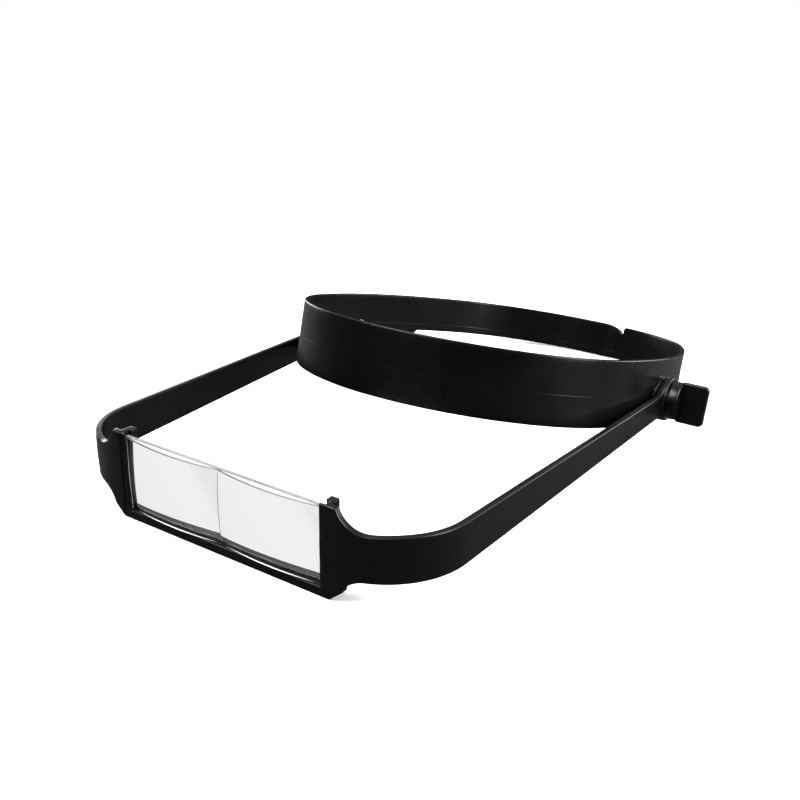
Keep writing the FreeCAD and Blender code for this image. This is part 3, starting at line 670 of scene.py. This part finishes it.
def band_strip(size):
    """The band as one strip with two lapped ends. It starts at the inner tail's end, runs round by the
    right side and the forehead and ends as the outer tail, which has stepped out by a wall and a gap."""
    start, end = pi - size.inner_end, -pi - size.outer_end
    near = np.array([0, 0.2, 0.5, 1, 1.6, 2.4, 3.2, 4]) * radians(1.0)
    step = np.linspace(radians(101.6), radians(104.7), 40)
    turn = np.unique(np.concatenate([np.linspace(end, start, 560), start - near, end + near, step, -step]))
    turn = turn[::-1, None]
    _, y = band_line(size, turn, 0.0)
    past = -pi - turn
    reach = band_arcs(size)[4][0]
    travelled = np.clip(reach * np.sin(past) - size.shoulder_start, 0, size.shoulder_length)
    bend = (size.shoulder_length ** 2 + size.tongue_drop ** 2) / (2 * size.tongue_drop)
    drop = np.where(past > 0, bend - np.sqrt(bend ** 2 - travelled ** 2), 0.0)
    drop = np.where(past > size.joggle_end, size.tongue_drop, drop)
    r = size.strap_round
    before = np.clip(y - (size.strap_start - r), 0, r)
    after = np.clip(size.strap_start + r - y, 0, r)
    low = np.where(y < size.strap_start, r - size.low - np.sqrt(r ** 2 - before ** 2),
                   np.sqrt(r ** 2 - after ** 2) - r - size.strap_low)
    rounding = (end_rounding((start - turn) * reach, 1.2 * MM)
                + end_rounding((turn - end) * reach, 3.5 * MM))
    low = low + rounding
    top = size.top - drop - rounding
    across, share, rise = strip_profile(size.wall / 2, size.edge, 14)
    out = (size.wall + size.layer_gap) * smooth((past - size.joggle_start)
                                                / (size.joggle_end - size.joggle_start))
    x, y = band_line(size, turn, out + across)
    z = low + size.edge + share * (top - low - 2 * size.edge) + rise
    return np.stack([x, y, z], axis=2)


def radial(size, sections, past):
    """A turned part about X moved to the rear arc, so that X points out at an angle from the rear middle."""
    centre = band_arcs(size)[4][2]
    x, y, z = np.moveaxis(sections, 2, 0)
    return np.stack([x * sin(past) - y * cos(past), x * cos(past) + y * sin(past) + centre,
                     z + size.snap_height], axis=2)


def pin_profile(start, end, radius, edge):
    """A round bar's (x, r) outline with rounded ends."""
    turn = np.linspace(0, pi / 2, 4)
    lead = np.stack([start + edge * (1 - np.cos(turn)), radius - edge * (1 - np.sin(turn))], axis=1)
    tail = np.stack([end - edge * (1 - np.cos(turn[::-1])), radius - edge * (1 - np.sin(turn[::-1]))], axis=1)
    return np.concatenate([lead, tail])


def hexagonal(start, end, apothem):
    """A plain hexagonal bar about X with a corner upwards."""
    a = np.linspace(0, 2 * pi, 6, endpoint=False)
    radius = apothem / cos(pi / 6)
    ring = np.stack([np.zeros(6), -radius * np.sin(a), radius * np.cos(a)], axis=1)
    return np.stack([ring + [start, 0, 0], ring + [end, 0, 0]])


class HEADVISOR_OT_headband(bpy.types.Operator):
    """Headband with its lapped tails, snap sockets, pivot bosses and nut recesses"""
    bl_idname = "headvisor.headband"
    bl_label = "Headband"
    bl_options = {"UNDO"}

    def execute(self, context):
        size, pivot, finish = settings().band, settings().pivot, settings().finish
        bore = settings().visor.bore_radius
        rear = band_arcs(size)[4][0]
        solids, holes = [band_strip(size)], []
        for _, side in SIDES:
            inner = size.half_width
            boss = lathe(pin_profile(inner - 0.4 * MM, size.boss_face, size.boss_radius, 0.45 * MM))
            solids.append(mirrored(boss, side))
            holes.append(mirrored(hexagonal(size.nut_seat - 8 * MM, size.nut_seat,
                                            pivot.nut_flats / 2 + 0.05 * MM), side))
            holes.append(mirrored(lathe([(inner - 5 * MM, bore), (size.boss_face + MM, bore)], 48), side))
        face = rear + size.wall / 2
        for number in range(size.sockets):
            past = size.snap_start + number * size.snap_pitch
            hole = pin_profile(face - 1.1 * MM, face + 0.15 * MM, size.snap_radius + 0.2 * MM, 0.2 * MM)
            holes.append(radial(size, lathe(hole, 32), past))
        for number in range(2):
            past = size.snap_start + number * size.snap_pitch
            stud = pin_profile(face - 0.9 * MM, face + size.layer_gap + size.wall / 2, size.snap_radius,
                               0.2 * MM)
            solids.append(radial(size, lathe(stud, 32), past))
        piece = fused("headband_moulding", [skin(band_frame_points(part)) for part in solids],
                      [skin(band_frame_points(part)) for part in holes])
        middle = (size.top - size.low) / 2
        seam = (tuple(BAND_UP), float(BAND_UP @ PIVOT) + middle - 1.2 * MM)
        material = plastic("headband_plastic", finish.band_black, finish.band_gloss, 0.06, 0.12, 0.1, seam)
        settle(piece, "headband", ["headband"], material)
        return {"FINISHED"}


# ---------------------------------------------------------------- visor frame

def arm_face(size):
    """Outer face of the arms' straight ends, from the middle plane."""
    bend_x = size.bar_half + size.bend_radius * cos(size.arm_splay)
    bend_y = size.bend_radius * (1 - sin(size.arm_splay))
    return bend_x + (size.pivot_reach - size.eye_flat - bend_y) * sin(size.arm_splay) / cos(size.arm_splay)


def arm_top(size, x, y):
    """Upper edge of the right arm: the post's height, a quarter-like arc down to the arm, a straight taper,
    and a rise to meet the round end."""
    drop = size.post_height - size.arm_top_front
    radius = (size.sweep_reach ** 2 + drop ** 2) / (2 * drop)
    left = np.clip(size.bar_half + size.sweep_start + size.sweep_reach - x, 0, size.sweep_reach)
    sweep = np.where(y < size.taper_start, radius - np.sqrt(radius ** 2 - left ** 2), 0.0)
    taper = np.clip((y - size.taper_start) / (size.pivot_reach - size.taper_start), 0, 1)
    top = size.arm_top_front + (size.arm_top_rear - size.arm_top_front) * taper + sweep
    meet = size.pivot_height + size.eye_radius * sin(size.meet_turn)
    return top + (meet - top) * flare(size, y)


def arm_low(size, x, y):
    """Lower edge of the right arm: a slope, a small step and an arc up to the arm, and a straight taper."""
    lift = size.arm_low_front - size.foot_rise - size.foot_step
    radius = (size.foot_sweep ** 2 + lift ** 2) / (2 * lift)
    out = x - size.bar_half
    slope = size.foot_rise * np.clip(out / size.foot_reach, 0, 1)
    left = np.clip(size.foot_reach + size.foot_sweep - out, 0, size.foot_sweep)
    curve = size.arm_low_front - radius + np.sqrt(radius ** 2 - left ** 2)
    foot = np.where(out < size.foot_reach, slope, curve)
    taper = np.clip((y - size.taper_start) / (size.pivot_reach - size.taper_start), 0, 1)
    low = np.where(y < size.taper_start, foot,
                   size.arm_low_front + (size.arm_low_rear - size.arm_low_front) * taper)
    meet = size.pivot_height - size.eye_radius * sin(size.meet_turn)
    return low + (meet - low) * flare(size, y)


def flare(size, y):
    """Share of the way from the taper to the round end's tangent points."""
    start = size.pivot_reach - size.flare_reach
    return smooth((y - start) / (size.pivot_reach - size.eye_radius * cos(size.meet_turn) - start))


def arm_sections(size):
    """The right arm as one strip: out of the post, round the bend, along the straight and into the round
    end. Its section is a rounded rectangle between the edges, crowned along its outer face."""
    steps = np.linspace(0, 1, 70)
    a = np.linspace(-pi / 2, -size.arm_splay, 90)
    inner_radius = size.bend_radius - size.arm_wall
    face = arm_face(size)
    straight_end = size.pivot_reach - size.eye_flat
    bend = np.stack([np.cos(a), np.sin(a)], axis=1)
    centre = np.array([size.bar_half, size.bend_radius])
    outer_bend, inner_bend = centre + size.bend_radius * bend, centre + inner_radius * bend
    post_x = np.linspace(-1.2 * MM, 0, 3)[:-1] + size.bar_half
    end_y = np.linspace(straight_end, size.pivot_reach - 4.9 * MM, 16)[1:]

    def straight(start, x):
        return start + (np.array([x, straight_end]) - start) * steps[1:, None]

    outer = np.concatenate([np.stack([post_x, 0 * post_x], axis=1), outer_bend,
                            straight(outer_bend[-1], face),
                            np.stack([0 * end_y + face, end_y], axis=1)])
    inner = np.concatenate([np.stack([post_x, 0 * post_x + size.arm_wall], axis=1), inner_bend,
                            straight(inner_bend[-1], face - size.arm_wall),
                            np.stack([0 * end_y + face - size.arm_wall, end_y], axis=1)])
    across, share, rise = strip_profile(size.arm_wall / 2, size.edge, 9)
    wall = outer - inner
    thick = np.linalg.norm(wall, axis=1)[:, None]
    travelled = np.concatenate([[0], np.cumsum(np.linalg.norm(np.diff(outer, axis=0), axis=1))])
    fade = smooth((travelled - 12 * MM) / (18 * MM)) * smooth((travelled[-1] - travelled) / (20 * MM))
    outside = np.clip(across / (size.arm_wall / 2), 0, 1) ** 4
    crown = size.arm_crown * fade[:, None] * outside * (1 - np.abs(2 * share - 1)) * (np.abs(rise) < 1e-9)
    place = across / size.arm_wall + 0.5 + crown / thick
    plan = inner[:, None] + wall[:, None] * place[:, :, None]
    x, y = plan[:, :, 0], plan[:, :, 1]
    low, top = arm_low(size, x, y), arm_top(size, x, y)
    z = low + size.edge + share * (top - low - 2 * size.edge) + rise
    return np.stack([x, y, z], axis=2)


def bar_sections(size):
    """The front bar: its grooved outline in (y, z), rounded, carried along X."""
    back = size.lip_wall + size.groove_wall
    outline = fillet(
        [(0, 0), (size.bar_depth, 0), (size.bar_depth, size.bar_back), (back, size.bar_back),
         (back, size.channel_floor), (size.lip_wall, size.channel_floor), (size.lip_wall, size.bar_lip),
         (0, size.bar_lip)],
        np.array([0.5, 0.5, 0.5, 0.3, 0.15, 0.15, 0.3, 0.3]) * MM)
    x = np.linspace(-size.bar_half, size.bar_half, 60)
    wide = np.broadcast_to(x[:, None], (len(x), len(outline)))
    return np.stack([wide, *np.broadcast_to(outline.T[:, None], (2, len(x), len(outline)))], axis=2)


def post_sections(size):
    """The right post: an outline in plan with a groove for the plate, raised to the post's height."""
    near = size.bar_half - size.post_width
    groove = near + size.lip_cover + size.channel_gap
    back = size.lip_wall + size.groove_wall
    outline = fillet(
        [(near, 0), (size.bar_half, 0), (size.bar_half, size.bar_depth), (near, size.bar_depth),
         (near, back), (groove, back), (groove, size.lip_wall), (near, size.lip_wall)],
        np.array([0.35, 0.35, 0.5, 0.5, 0.35, 0.15, 0.15, 0.35]) * MM)
    return rounded_prism(outline, 1.0 * MM, size.post_height, 0.3 * MM)


def eye_sections(size):
    """The right arm's round end: a turned disc with a raised rim round a shallow seat for the washers."""
    outer = arm_face(size) - size.arm_wall + size.eye_wall
    body = pin_profile(outer - size.eye_wall, outer, size.eye_radius, size.edge)
    seat = [(outer, size.eye_radius - 0.9 * MM), (outer - 0.2 * MM, size.eye_radius - 1.15 * MM)]
    return lathe(np.concatenate([body, seat])) + [0, size.pivot_reach, size.pivot_height]


class HEADVISOR_OT_visor_frame(bpy.types.Operator):
    """Visor frame: front bar, grooved posts, bends, tapered arms and round ends"""
    bl_idname = "headvisor.visor_frame"
    bl_label = "Visor Frame"
    bl_options = {"UNDO"}

    def execute(self, context):
        size, finish = settings().visor, settings().finish
        parts, holes = [bar_sections(size)], []
        for _, side in SIDES:
            for build in (post_sections, arm_sections, eye_sections):
                parts.append(mirrored(build(size), side))
            face = arm_face(size)
            bore = lathe([(face - 6 * MM, size.bore_radius), (face + 6 * MM, size.bore_radius)], 48)
            holes.append(mirrored(bore + [0, size.pivot_reach, size.pivot_height], side))
        piece = fused("visor_moulding", [skin(visor_frame_points(part)) for part in parts],
                      [skin(visor_frame_points(part)) for part in holes])
        material = plastic("visor_plastic", finish.visor_black, finish.visor_gloss, 0.22, 0.1, 0.5)
        settle(piece, "visor", ["visor_frame"], material)
        return {"FINISHED"}


# ---------------------------------------------------------------- lens plate

# Places of the points up the plate's front: -1 to just below 0 under the lenses, 0 to 1 over them.
PLATE_FRONT = np.concatenate([[-1.0, -0.5, -1e-9], np.linspace(0, 1, 64)])
# Rows of faces: the ledge under the lenses, which gets a painted highlight, and the two dark lines on the
# plate's top, which are painted shade standing in for refraction.
LEDGE_ROW = 2
DARK_ROWS = (len(PLATE_FRONT) + 1, len(PLATE_FRONT) + 3)


def plate_sections(size, visor):
    """The clear plate along X. Each section is a chamfered rectangle in (y, z) whose front stands out by
    the height of a sphere over its chord: sqrt(R^2 - dx^2 - dz^2) - R + rise, inside each lens's cell."""
    e = size.edge
    low = visor.channel_floor + visor.channel_gap
    top = low + size.height
    front = visor.lip_wall + visor.channel_gap
    back = front + size.wall
    cell = visor.bar_half - visor.post_width - size.edge_gap
    cell_low = visor.bar_lip + size.edge_gap
    tiny = 0.06 * MM
    z_front = np.where(PLATE_FRONT < 0, cell_low - tiny + (cell_low - tiny - low - e) * PLATE_FRONT,
                       cell_low + tiny + (top - e - cell_low - tiny) * PLATE_FRONT)
    groove = size.groove / 2
    lens_x = np.concatenate([[groove - tiny], np.linspace(groove, cell, 90), [cell + tiny]])
    x = np.concatenate([[-size.half, -size.half + e], -lens_x[::-1], lens_x,
                        [size.half - e, size.half]])[:, None]
    spread = np.abs(x) - cell / 2
    rise = z_front - (cell_low + top) / 2
    dome = np.sqrt(size.radius ** 2 - spread ** 2 - rise ** 2) - size.radius + size.rise
    inside = (np.abs(x) <= cell) & (np.abs(x) >= groove) & (z_front >= cell_low)
    y_front = front - np.where(inside, np.clip(dome, 0, None), 0.0)
    shrink = np.where(np.abs(x) > size.half - e / 2, e, 0.0)
    z_back = np.linspace(top - e, low + e, 12)
    ones = np.ones_like(x)
    # Narrow rows along the back of the top, which carry the two painted dark lines.
    strips = back - e - np.array([2 * size.strip + size.strip_gap, size.strip + size.strip_gap,
                                  size.strip, 0])
    y = np.concatenate([y_front + shrink, y_front[:, -1:] + e, ones * strips,
                        ones * back - shrink + 0 * z_back, ones * (back - e), ones * (front + e)], axis=1)
    z = np.concatenate([ones * z_front, ones * top, ones * top + 0 * strips, ones * z_back,
                        ones * low, ones * low], axis=1)
    z = np.clip(z, low + shrink, top - shrink)
    return np.stack([x + 0 * y, y, z], axis=2)


class HEADVISOR_OT_lens_plate(bpy.types.Operator):
    """Clear acrylic plate with side-by-side lenses"""
    bl_idname = "headvisor.lens_plate"
    bl_label = "Lens Plate"
    bl_options = {"UNDO"}

    def execute(self, context):
        sections = plate_sections(settings().lens, settings().visor)
        piece = new_object("lens_plate_clear", [skin(visor_frame_points(sections))])
        finish = settings().finish
        settle(piece, "lens", ["lens_plate"], clear_acrylic("clear_acrylic", finish.clear),
               sharp=20)
        mesh = piece.data
        mesh.materials.append(sawn_acrylic_painted_light("sawn_acrylic_painted_light", finish.painted_highlight))
        mesh.materials.append(sawn_acrylic_painted_light("acrylic_painted_shade", finish.corner))
        # Each face gets one of three materials: clear acrylic; a pale painted highlight on the top and on the
        # ledge under the lenses; a dark painted shade on the chamfers, ends, underside and the two dark lines
        # on the top.
        facing = np.empty(len(mesh.polygons) * 3)
        mesh.polygons.foreach_get("normal", facing)
        facing = facing.reshape(-1, 3)
        upward = facing @ VISOR_UP
        side = (np.abs(facing[:, 0]) > 0.5) | (np.abs(upward) > 0.5)
        row = np.arange(len(facing)) % sections.shape[1]
        painted_highlight = np.where(row == LEDGE_ROW, side, (upward > 0.9) & ~np.isin(row, DARK_ROWS))
        kind = np.where(painted_highlight, 1, np.where(side, 2, 0))
        mesh.polygons.foreach_set("material_index", kind.astype(np.int32))
        mesh.update()
        return {"FINISHED"}


# ---------------------------------------------------------------- pivots

def hub_sections(size):
    """A knob's hub: a turned disc with a small inner rounding, slight draft and a generous outer one."""
    start, end = size.hub_face, size.hub_face + size.hub_length
    turn = np.linspace(0, pi / 2, 5)
    outer = size.hub_radius - 0.2 * MM
    lead = np.stack([start + 0.3 * MM * (1 - np.cos(turn)),
                     size.hub_radius - 0.3 * MM * (1 - np.sin(turn))], axis=1)
    rim = np.stack([end - size.hub_edge * (1 - np.cos(turn[::-1])),
                    outer - size.hub_edge * (1 - np.sin(turn[::-1]))], axis=1)
    return lathe(np.concatenate([lead, rim]))


def wing_sections(size):
    """A knob's wing: a plate with rounded corners and edges, standing on the hub."""
    start = size.hub_face + size.hub_length - MM
    end = size.hub_face + size.hub_length + size.wing_length
    half, r = size.wing_half, size.wing_round
    corners = [(start, -half), (end, -half), (end, half), (start, half)]
    outline = fillet(corners, [0.9 * MM, r, r, 0.9 * MM], 9)
    levels = rounded_prism(outline, -size.wing_wall / 2, size.wing_wall / 2, 0.7 * MM, 6)
    return levels[:, :, [0, 2, 1]]


class HEADVISOR_OT_knobs(bpy.types.Operator):
    """Both thumb knobs: hub and wing"""
    bl_idname = "headvisor.knobs"
    bl_label = "Thumb Knobs"
    bl_options = {"UNDO"}

    def execute(self, context):
        size, finish = settings().pivot, settings().finish
        material = plastic("knob_plastic", finish.knob_black, finish.knob_gloss, 0.15, 0.1, 0.6)
        for name, side in SIDES:
            parts = [mirrored(part, side) for part in (hub_sections(size), wing_sections(size))]
            piece = fused("thumb_knob_" + name, [skin(knob_frame_points(part)) for part in parts])
            settle(piece, "knob_" + name, ["knob_" + name], material)
        return {"FINISHED"}


def stud_sections(size):
    """A threaded stud: at each x and turn a, the radius falls from the crest by the depth of a triangle
    wave of x / pitch - a / 2 pi, and both ends are chamfered."""
    x = np.linspace(size.stud_inner, size.stud_outer, 200)[:, None]
    a = np.linspace(0, 2 * pi, 40, endpoint=False)
    phase = (x / size.stud_pitch - a / (2 * pi)) % 1.0
    radius = size.stud_radius - size.stud_depth * np.abs(2 * phase - 1)
    radius = np.minimum(radius, size.stud_radius - 0.45 * MM + (x - size.stud_inner))
    radius = np.minimum(radius, size.stud_radius - 0.45 * MM + (size.stud_outer - x))
    return np.stack([x + 0 * a, radius * np.cos(a), radius * np.sin(a)], axis=2)


def nut_sections(size, bore):
    """A hexagonal nut: a turned ring with 30-degree chamfers, kept inside the six flats."""
    tall, wide = size.nut_wall, size.nut_flats / 2 / cos(pi / 6)
    start, end = size.nut_outer - tall, size.nut_outer
    chamfer = 0.35 * MM
    ring = fillet([(start, bore), (end, bore), (end, size.nut_flats / 2), (end - chamfer, wide + 0.1 * MM),
                   (start + chamfer, wide + 0.1 * MM), (start, size.nut_flats / 2)], 0.06 * MM, 4)
    sections = lathe(ring, 144)
    a = np.linspace(0, 2 * pi, 144, endpoint=False)
    flats = size.nut_flats / 2 / np.cos((a + pi / 6) % (pi / 3) - pi / 6)
    radius = np.minimum(ring[:, 1:], flats)
    return np.stack([sections[:, :, 0], -radius * np.sin(a), radius * np.cos(a)], axis=2)


class HEADVISOR_OT_hardware(bpy.types.Operator):
    """Studs, nuts, flat washers and friction washers of both pivots"""
    bl_idname = "headvisor.hardware"
    bl_label = "Pivot Hardware"
    bl_options = {"UNDO"}

    def execute(self, context):
        size, finish = settings().pivot, settings().finish
        bore = settings().visor.bore_radius
        steel = plated_steel("plated_steel", finish.steel)
        pad = rubbery("friction_pad", finish.pad_black)
        flat = washer(size.flat_face, size.flat_wall, bore, size.flat_radius, 0.12 * MM)
        friction = washer(size.friction_face, size.friction_wall, bore, size.friction_radius, 0.15 * MM)
        kinds = (
            ("threaded_stud_", "stud_", stud_sections(size), False, "knob_", steel, "plated_steel"),
            ("hex_nut_", "nut_", nut_sections(size, bore), True, "", steel, "plated_steel"),
            ("plain_washer_", "flat_washer_", flat, True, "knob_", steel, "plated_steel"),
            ("rubber_washer_", "friction_washer_", friction, True, "", pad, "friction_pad"),
        )
        for name, side in SIDES:
            for label, node, sections, ring, body, material, slot in kinds:
                shell = skin(band_frame_points(mirrored(sections, side)), ring)
                piece = new_object(label + name, [shell])
                settle(piece, body + name if body else "headband", [node + name], material, sharp=25)
        return {"FINISHED"}


# ---------------------------------------------------------------- stage

def bounced(tree):
    """1 for a ray that comes off a surface, and 0 for one from the camera or through the clear plate."""
    rays = add(tree, "ShaderNodeLightPath")
    kinds = {0: rays.outputs["Is Diffuse Ray"], 1: rays.outputs["Is Glossy Ray"]}
    either = add(tree, "ShaderNodeMath", kinds, operation="MAXIMUM")
    kept = add(tree, "ShaderNodeMath", {0: either.outputs[0], 1: rays.outputs["Is Transmission Ray"]},
               operation="SUBTRACT", use_clamp=True)
    return kept.outputs[0]


class HEADVISOR_OT_stage(bpy.types.Operator):
    """Floor, soft lights and camera"""
    bl_idname = "headvisor.stage"
    bl_label = "Stage"
    bl_options = {"UNDO"}

    def execute(self, context):
        stage = settings().stage
        self.floor(stage)
        self.sky(context, stage)
        self.light("key_softbox", (-0.5, -0.7, 1.3), (0, 0, 0), (1.2, 0.9), stage.key)
        self.light("side_softbox", (1.2, 0.2, 0.7), (0, 0, 0.03), (0.5, 1.1), stage.side)
        self.light("left_strip", (-1.2, 0.5, 0.2), (0, 0, 0.03), (0.9, 0.4), stage.left)
        self.light("rear_strip", (0.8, 1.2, 0.25), (0, 0, 0.03), (0.9, 0.4), stage.rear)
        self.camera(context, stage)
        return {"FINISHED"}

    def floor(self, stage):
        """A square of floor at z = 0: both coordinates run from -half to half. Its colour is dim for
        rays that the object reflects, and it fades away towards its rim, into the backdrop."""
        half = 0.7
        corners = np.array([(-half, -half, 0), (half, -half, 0), (half, half, 0), (-half, half, 0)])
        floor = new_object("floor", [(corners, [[0, 1, 2, 3]])])
        material, tree, shader, output = new_material("floor_paper")
        place = add(tree, "ShaderNodeTexCoord").outputs["Object"]
        tint = add(tree, "ShaderNodeMix", {"Factor": bounced(tree), 6: tuple(stage.floor),
                                           7: tuple(stage.bounce)}, data_type="RGBA")
        tree.links.new(tint.outputs[2], shader.inputs["Base Color"])
        shader.inputs["Roughness"].default_value = 0.8
        shader.inputs["Specular IOR Level"].default_value = 0.1
        far = add(tree, "ShaderNodeVectorMath", {0: place}, operation="LENGTH")
        fade = add(tree, "ShaderNodeMapRange", {"Value": far.outputs["Value"], "From Min": 0.22,
                                                "From Max": 0.6}, interpolation_type="SMOOTHSTEP")
        clear = add(tree, "ShaderNodeBsdfTransparent")
        through = add(tree, "ShaderNodeLightPath").outputs["Is Transmission Ray"]
        hidden = add(tree, "ShaderNodeMath", {0: fade.outputs[0], 1: through}, operation="MAXIMUM")
        both = add(tree, "ShaderNodeMixShader", {0: hidden.outputs[0], 1: shader.outputs[0],
                                                 2: clear.outputs[0]})
        tree.links.new(both.outputs[0], output.inputs["Surface"])
        floor.data.materials.append(material)

    def sky(self, context, stage):
        """A white backdrop to the camera; as light, dim near the horizon and bright overhead."""
        world = bpy.data.worlds.new("studio")
        world.use_nodes = True
        tree = world.node_tree
        tree.nodes.clear()
        upward = add(tree, "ShaderNodeSeparateXYZ", {0: add(tree, "ShaderNodeTexCoord").outputs["Generated"]})
        ends = {"Value": upward.outputs["Z"], "From Min": 0.05, "From Max": 0.85,
                "To Min": stage.horizon, "To Max": stage.sky}
        level = add(tree, "ShaderNodeMapRange", ends, interpolation_type="SMOOTHSTEP")
        soft = add(tree, "ShaderNodeBackground", {"Strength": level.outputs[0], "Color": (1, 1, 1, 1)})
        backdrop = add(tree, "ShaderNodeBackground", {"Strength": 1.0, "Color": (1, 1, 1, 1)})
        both = add(tree, "ShaderNodeMixShader", {0: bounced(tree), 1: backdrop.outputs[0],
                                                 2: soft.outputs[0]})
        add(tree, "ShaderNodeOutputWorld", {"Surface": both.outputs[0]})
        context.scene.world = world
        context.scene.view_settings.view_transform = "Standard"

    def light(self, name, place, target, size, power):
        data = bpy.data.lights.new(name, "AREA")
        data.shape = "RECTANGLE"
        data.size, data.size_y = size
        data.energy = power
        lamp = bpy.data.objects.new(name, data)
        lamp.location = place
        lamp.visible_camera = False
        lamp.rotation_mode = "QUATERNION"
        lamp.rotation_quaternion = (Vector(target) - Vector(place)).to_track_quat("-Z", "Y")
        bpy.context.scene.collection.objects.link(lamp)

    def camera(self, context, stage):
        data = bpy.data.cameras.new("camera")
        data.lens = stage.lens
        data.sensor_width = 36.0
        camera = bpy.data.objects.new("camera", data)
        camera.location = stage.place
        ahead = Vector((-sin(stage.heading) * cos(stage.dip), cos(stage.heading) * cos(stage.dip),
                        -sin(stage.dip)))
        camera.rotation_mode = "QUATERNION"
        roll = Euler((0, 0, stage.roll)).to_quaternion()
        camera.rotation_quaternion = ahead.to_track_quat("-Z", "Y") @ roll
        context.scene.collection.objects.link(camera)
        context.scene.camera = camera


class HEADVISOR_PT_panel(bpy.types.Panel):
    """Builds each group of pieces and shows its sizes"""
    bl_idname = "HEADVISOR_PT_panel"
    bl_label = "Head Visor Magnifier"
    bl_space_type = "VIEW_3D"
    bl_region_type = "UI"
    bl_category = "Visor"

    def draw(self, context):
        for title, group, operators in (
                ("Headband", settings().band, ("headvisor.headband",)),
                ("Visor frame", settings().visor, ("headvisor.visor_frame",)),
                ("Lens plate", settings().lens, ("headvisor.lens_plate",)),
                ("Pivots", settings().pivot, ("headvisor.knobs", "headvisor.hardware")),
                ("Finishes", settings().finish, ()),
                ("Stage", settings().stage, ("headvisor.stage",))):
            box = self.layout.box()
            box.label(text=title)
            for operator in operators:
                box.operator(operator)
            for name in group.bl_rna.properties.keys():
                if name not in {"rna_type", "name"}:
                    box.prop(group, name)


PIECE_OPERATORS = (HEADVISOR_OT_headband, HEADVISOR_OT_visor_frame, HEADVISOR_OT_lens_plate,
                   HEADVISOR_OT_knobs, HEADVISOR_OT_hardware, HEADVISOR_OT_stage)
CLASSES = (VisorSizes, LensSizes, BandSizes, PivotSizes, Finishes, StageSettings, HeadVisorSettings,
           *PIECE_OPERATORS, HEADVISOR_PT_panel)


def register():
    for item in CLASSES:
        bpy.utils.register_class(item)
    bpy.types.Scene.head_visor = PointerProperty(type=HeadVisorSettings)


def unregister():
    del bpy.types.Scene.head_visor
    for item in reversed(CLASSES):
        bpy.utils.unregister_class(item)


def main():
    register()
    bpy.ops.headvisor.stage()
    bpy.ops.headvisor.headband()
    bpy.ops.headvisor.visor_frame()
    bpy.ops.headvisor.lens_plate()
    bpy.ops.headvisor.knobs()
    bpy.ops.headvisor.hardware()


if __name__ == "__main__":
    main()
